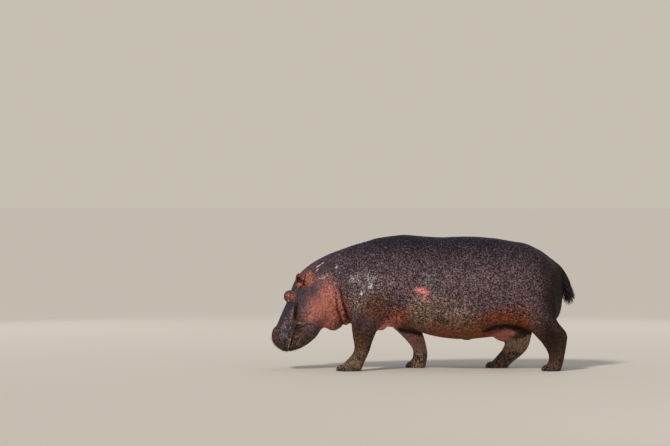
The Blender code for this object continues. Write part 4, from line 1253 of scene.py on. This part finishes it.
# ---------------------------------------------------------------- bristles
def bristle_shape(rings):
    """The mesh of one straight bristle: three sides, one unit long and one thick."""
    bm = bmesh.new()
    bmesh.ops.create_cone(bm, segments=3, radius1=1.0, radius2=0.12, depth=1.0, cap_ends=True)
    bmesh.ops.translate(bm, vec=(0.0, 0.0, 0.5), verts=bm.verts)
    for ring in range(1, rings):
        everything = bm.verts[:] + bm.edges[:] + bm.faces[:]
        height = (0.0, 0.0, ring / rings)
        bmesh.ops.bisect_plane(bm, geom=everything, plane_co=height, plane_no=(0.0, 0.0, 1.0))
    return mesh_of(bm, "one_bristle")


def bristles(name, shape, roots):
    """Many bristles as one mesh. Each root is (place, direction, bend, length, thickness,
    place on the skin's unwrap)."""
    bm = bmesh.new()
    along = bm.verts.layers.float.new("along")
    unwrap = bm.loops.layers.uv.new("OFBake")
    patch_size = 0.003  # on an unwrap one unit wide, which keeps each bristle's bake apart
    for start, way, bend, length, thick, (u, v) in roots:
        first_vertex = len(bm.verts)
        first_face = len(bm.faces)
        bm.from_mesh(shape)
        bm.verts.ensure_lookup_table()
        bm.faces.ensure_lookup_table()
        side = way.orthogonal().normalized()
        other = way.cross(side)
        patch = {}
        for vertex in bm.verts[first_vertex:]:
            x, y, up = vertex.co
            vertex[along] = up
            patch[vertex] = (u + patch_size * up, v + patch_size * (0.5 + 0.5 * x))
            spine = start + way * (up * length) + bend * (up * up * length)
            vertex.co = spine + (side * x + other * y) * thick
        for face in bm.faces[first_face:]:
            for loop in face.loops:
                loop[unwrap].uv = patch[loop.vert]
    return place(name, mesh_of(bm, name))


def chosen_roots(points, normals, weight, count, dice):
    """Points of the hide and their normals, picked by weight."""
    share = np.cumsum(weight)
    picked = np.searchsorted(share, [dice.random() * share[-1] for _ in range(count)])
    return [(Vector(points[i]), Vector(normals[i])) for i in picked]


def around(across, along):
    """The share of a turn that a direction has gone."""
    return math.atan2(across, along) / FULL_TURN + 0.5


def tail_roots(points, normals, count, longest, dice):
    """Bristles along both edges of the tail's lower half and all round its tip."""
    share = tail_share(points)
    weight = ease(share, 0.42, 0.85) * np.where(share > 0.86, 1.5, np.abs(normals[:, 0]) + 0.2)
    for start, normal in chosen_roots(points, normals, weight, count, dice):
        down = float(tail_share(np.array([start]))[0])
        way = (normal * 0.8 + Vector((0.1, 0.0, -1.0))).normalized()
        length = longest * (0.3 + 0.7 * down**3) * dice.uniform(0.65, 1.0)
        bend = Vector((dice.uniform(-0.1, 0.1), dice.uniform(-0.1, 0.1), -0.2))
        spot = (around(start.y, start.x - 1.57), down)
        yield start - normal * 0.002, way, bend, length, dice.uniform(0.001, 0.0017), spot


def muzzle_roots(points, normals, count, dice):
    """Short bristles on the pads of the upper lip and on the chin."""
    x, _, z = points.T
    lip = ease(x, -1.38, -1.44) * ease(z, 0.44, 0.34)
    chin = ease(x, -1.24, -1.32) * ease(z, 0.34, 0.26)
    bend = FORWARD * 0.15 - Vector((0.0, 0.0, 0.12))
    for start, normal in chosen_roots(points, normals, np.maximum(lip, 0.7 * chin), count, dice):
        way = (normal + FORWARD * 0.35 + Vector([dice.uniform(-0.2, 0.2) for _ in range(3)])).normalized()
        forward = (start - Vector((-1.15, 0.0, 0.98))).dot(FORWARD)
        spot = (around(start.y, (start - Vector((-1.4, 0.0, 0.33))).dot(DORSAL)), forward)
        length = dice.uniform(0.009, 0.018)
        yield start - normal * 0.001, way, bend, length, dice.uniform(0.0006, 0.001), spot


def ear_roots(points, normals, sign, count, dice):
    """Fine hairs round the ear's rim and inside its hollow."""
    along, across, out = in_ear(points, sign).T
    near = (along > 0.06) & (along < 0.2) & (np.abs(across) < 0.06) & (np.abs(out) < 0.05)
    rim = near * ease(out, -0.012, 0.002)
    up, _, facing = ear_frame(sign).transposed()
    for start, normal in chosen_roots(points, normals, rim, count, dice):
        way = (normal * 0.6 + up * 0.7 + facing * 0.3).normalized()
        low, side, _ = in_ear(np.array([start]), sign)[0]
        spot = (0.25 + 0.5 * (sign > 0) + 2.0 * side, 4.0 * low)
        yield start - normal * 0.001, way, up * 0.1, dice.uniform(0.006, 0.013), 0.0005, spot


class HIPPO_OT_bristles(bpy.types.Operator):
    """Builds the bristles of the tail and muzzle and the hairs of the ears"""

    bl_idname = "hippo.bristles"
    bl_label = "Bristles"

    def execute(self, context):
        chosen = context.scene.hippo_bristles
        dice = random.Random(SEED)
        hide = bpy.data.objects["hide"].data
        skin = (read_points(hide), read_normals(hide))
        shape = bristle_shape(4)
        dark = bristle_material("tail_bristle", chosen.dark, [1.8 * c for c in chosen.dark])
        pale = bristle_material("whisker", [0.4 * c for c in chosen.pale], chosen.pale)
        hairs = itertools.chain(*(ear_roots(*skin, sign, chosen.ear_count, dice) for sign in SIDES.values()))
        for name, roots, material in (
            ("tail_bristles", tail_roots(*skin, chosen.tail_count, chosen.tail_length, dice), dark),
            ("muzzle_bristles", muzzle_roots(*skin, chosen.muzzle_count, dice), pale),
            ("ear_hairs", hairs, pale),
        ):
            stood_for(bristles(name, shape, roots), material, "bristle")
        return {"FINISHED"}


class HIPPO_OT_hide(bpy.types.Operator):
    """Builds the one hide that covers the whole animal"""

    bl_idname = "hippo.hide"
    bl_label = "Hide"

    def execute(self, context):
        chosen = context.scene.hippo_hide
        mesh = sculpted(chosen.voxel, chosen.fold_depth)
        mesh.shade_smooth()
        write_markings(mesh)
        stood_for(place("hide", mesh), hide_material(chosen), "hide", *SOLIDS, *EARS)
        return {"FINISHED"}


# ---------------------------------------------------------------- the stage
FLOOR_SIZE = 160.0
FILL_SIZE = 6.0
LAMPS = {
    "key": Vector((-4.5, -8.5, 7.5)),
    "front_fill": Vector((5.5, -9.0, 3.0)),
    "back_fill": Vector((3.5, 10.0, 4.5)),
    "far_fill": Vector((-6.0, 9.0, 4.0)),
}
AIM = Vector((0.0, 0.0, 0.65))  # the middle of the animal, which the lamps face
# The camera stands ahead of the animal's middle and above it, and looks a little down.
CAMERA_AHEAD = 0.944
CAMERA_HEIGHT = 2.727
CAMERA_TILT = math.radians(1.457)
SIGHT = 300.0  # how far the camera sees


class HIPPO_OT_stage(bpy.types.Operator):
    """Sets the floor, the soft lights, the pale surroundings and the camera"""

    bl_idname = "hippo.stage"
    bl_label = "Stage"

    def execute(self, context):
        scene = context.scene
        chosen = scene.hippo_stage
        bm = bmesh.new()
        bmesh.ops.create_grid(bm, x_segments=1, y_segments=1, size=FLOOR_SIZE / 2.0)
        floor = finish("studio_floor", bm)
        floor.data.materials.append(floor_material(chosen))
        floor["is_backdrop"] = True
        key = bpy.data.lights.new("key", "SUN")
        key.energy = chosen.key_strength
        key.angle = chosen.key_angle
        key.color = hex_colour("#fff4e6")
        fill = bpy.data.lights.new("fill", "AREA")
        fill.shape = "SQUARE"
        fill.size = FILL_SIZE
        fill.energy = chosen.fill_power
        for name, spot in LAMPS.items():
            lamp = bpy.data.objects.new(name, key if name == "key" else fill)
            lamp.location = spot
            lamp.rotation_euler = (AIM - spot).to_track_quat("-Z", "Y").to_euler()
            scene.collection.objects.link(lamp)
        scene.world = bpy.data.worlds.new("pale_studio")
        scene.world.use_nodes = True
        tree = scene.world.node_tree
        # What the camera sees behind the floor matches it, and what lights the hide is neutral.
        seen = add_node(tree, "LightPath", output="Is Camera Ray")
        tints = {FACTOR: seen, A: hex_colour("#aeadad"), B: hex_colour("#c6bfb2")}
        tint = add_node(tree, "Mix", tints, RESULT, data_type="RGBA")
        tree.links.new(tint, tree.nodes["Background"].inputs["Color"])
        scene.view_settings.view_transform = "Standard"
        camera = bpy.data.objects.new("camera", bpy.data.cameras.new("camera"))
        camera.data.lens = chosen.lens
        camera.data.clip_end = SIGHT
        camera.location = (-CAMERA_AHEAD, -chosen.distance, CAMERA_HEIGHT)
        camera.rotation_euler = (math.pi / 2.0 - CAMERA_TILT, 0.0, 0.0)
        scene.collection.objects.link(camera)
        scene.camera = camera
        return {"FINISHED"}


# ---------------------------------------------------------------- the add-on
class HIPPO_PT_panel(bpy.types.Panel):
    """Lists the pieces of the hippopotamus and their settings"""

    bl_idname = "HIPPO_PT_panel"
    bl_label = "Hippopotamus"
    bl_space_type = "VIEW_3D"
    bl_region_type = "UI"
    bl_category = "Hippopotamus"

    def draw(self, context):
        for operator, group, _ in STEPS:
            box = self.layout.box()
            box.operator(operator.bl_idname)
            settings = getattr(context.scene, group)
            for name in settings.__annotations__:
                box.prop(settings, name)


STEPS = (
    (HIPPO_OT_hide, "hippo_hide", HippoHideSettings),
    (HIPPO_OT_eyes, "hippo_eyes", HippoEyeSettings),
    (HIPPO_OT_nails, "hippo_nails", HippoNailSettings),
    (HIPPO_OT_bristles, "hippo_bristles", HippoBristleSettings),
    (HIPPO_OT_stage, "hippo_stage", HippoStageSettings),
)


def register():
    for operator, group, settings in STEPS:
        bpy.utils.register_class(settings)
        setattr(bpy.types.Scene, group, bpy.props.PointerProperty(type=settings))
        bpy.utils.register_class(operator)
    bpy.utils.register_class(HIPPO_PT_panel)


def unregister():
    bpy.utils.unregister_class(HIPPO_PT_panel)
    for operator, group, settings in reversed(STEPS):
        bpy.utils.unregister_class(operator)
        delattr(bpy.types.Scene, group)
        bpy.utils.unregister_class(settings)


def main():
    register()
    bpy.ops.hippo.hide()
    bpy.ops.hippo.eyes()
    bpy.ops.hippo.nails()
    bpy.ops.hippo.bristles()
    bpy.ops.hippo.stage()
    boxes = {"cad": CAD_BOX, "visual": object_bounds()}
    {name: [list(corner) for corner in box] for name, box in boxes.items()}


if __name__ == "__main__":
    main()
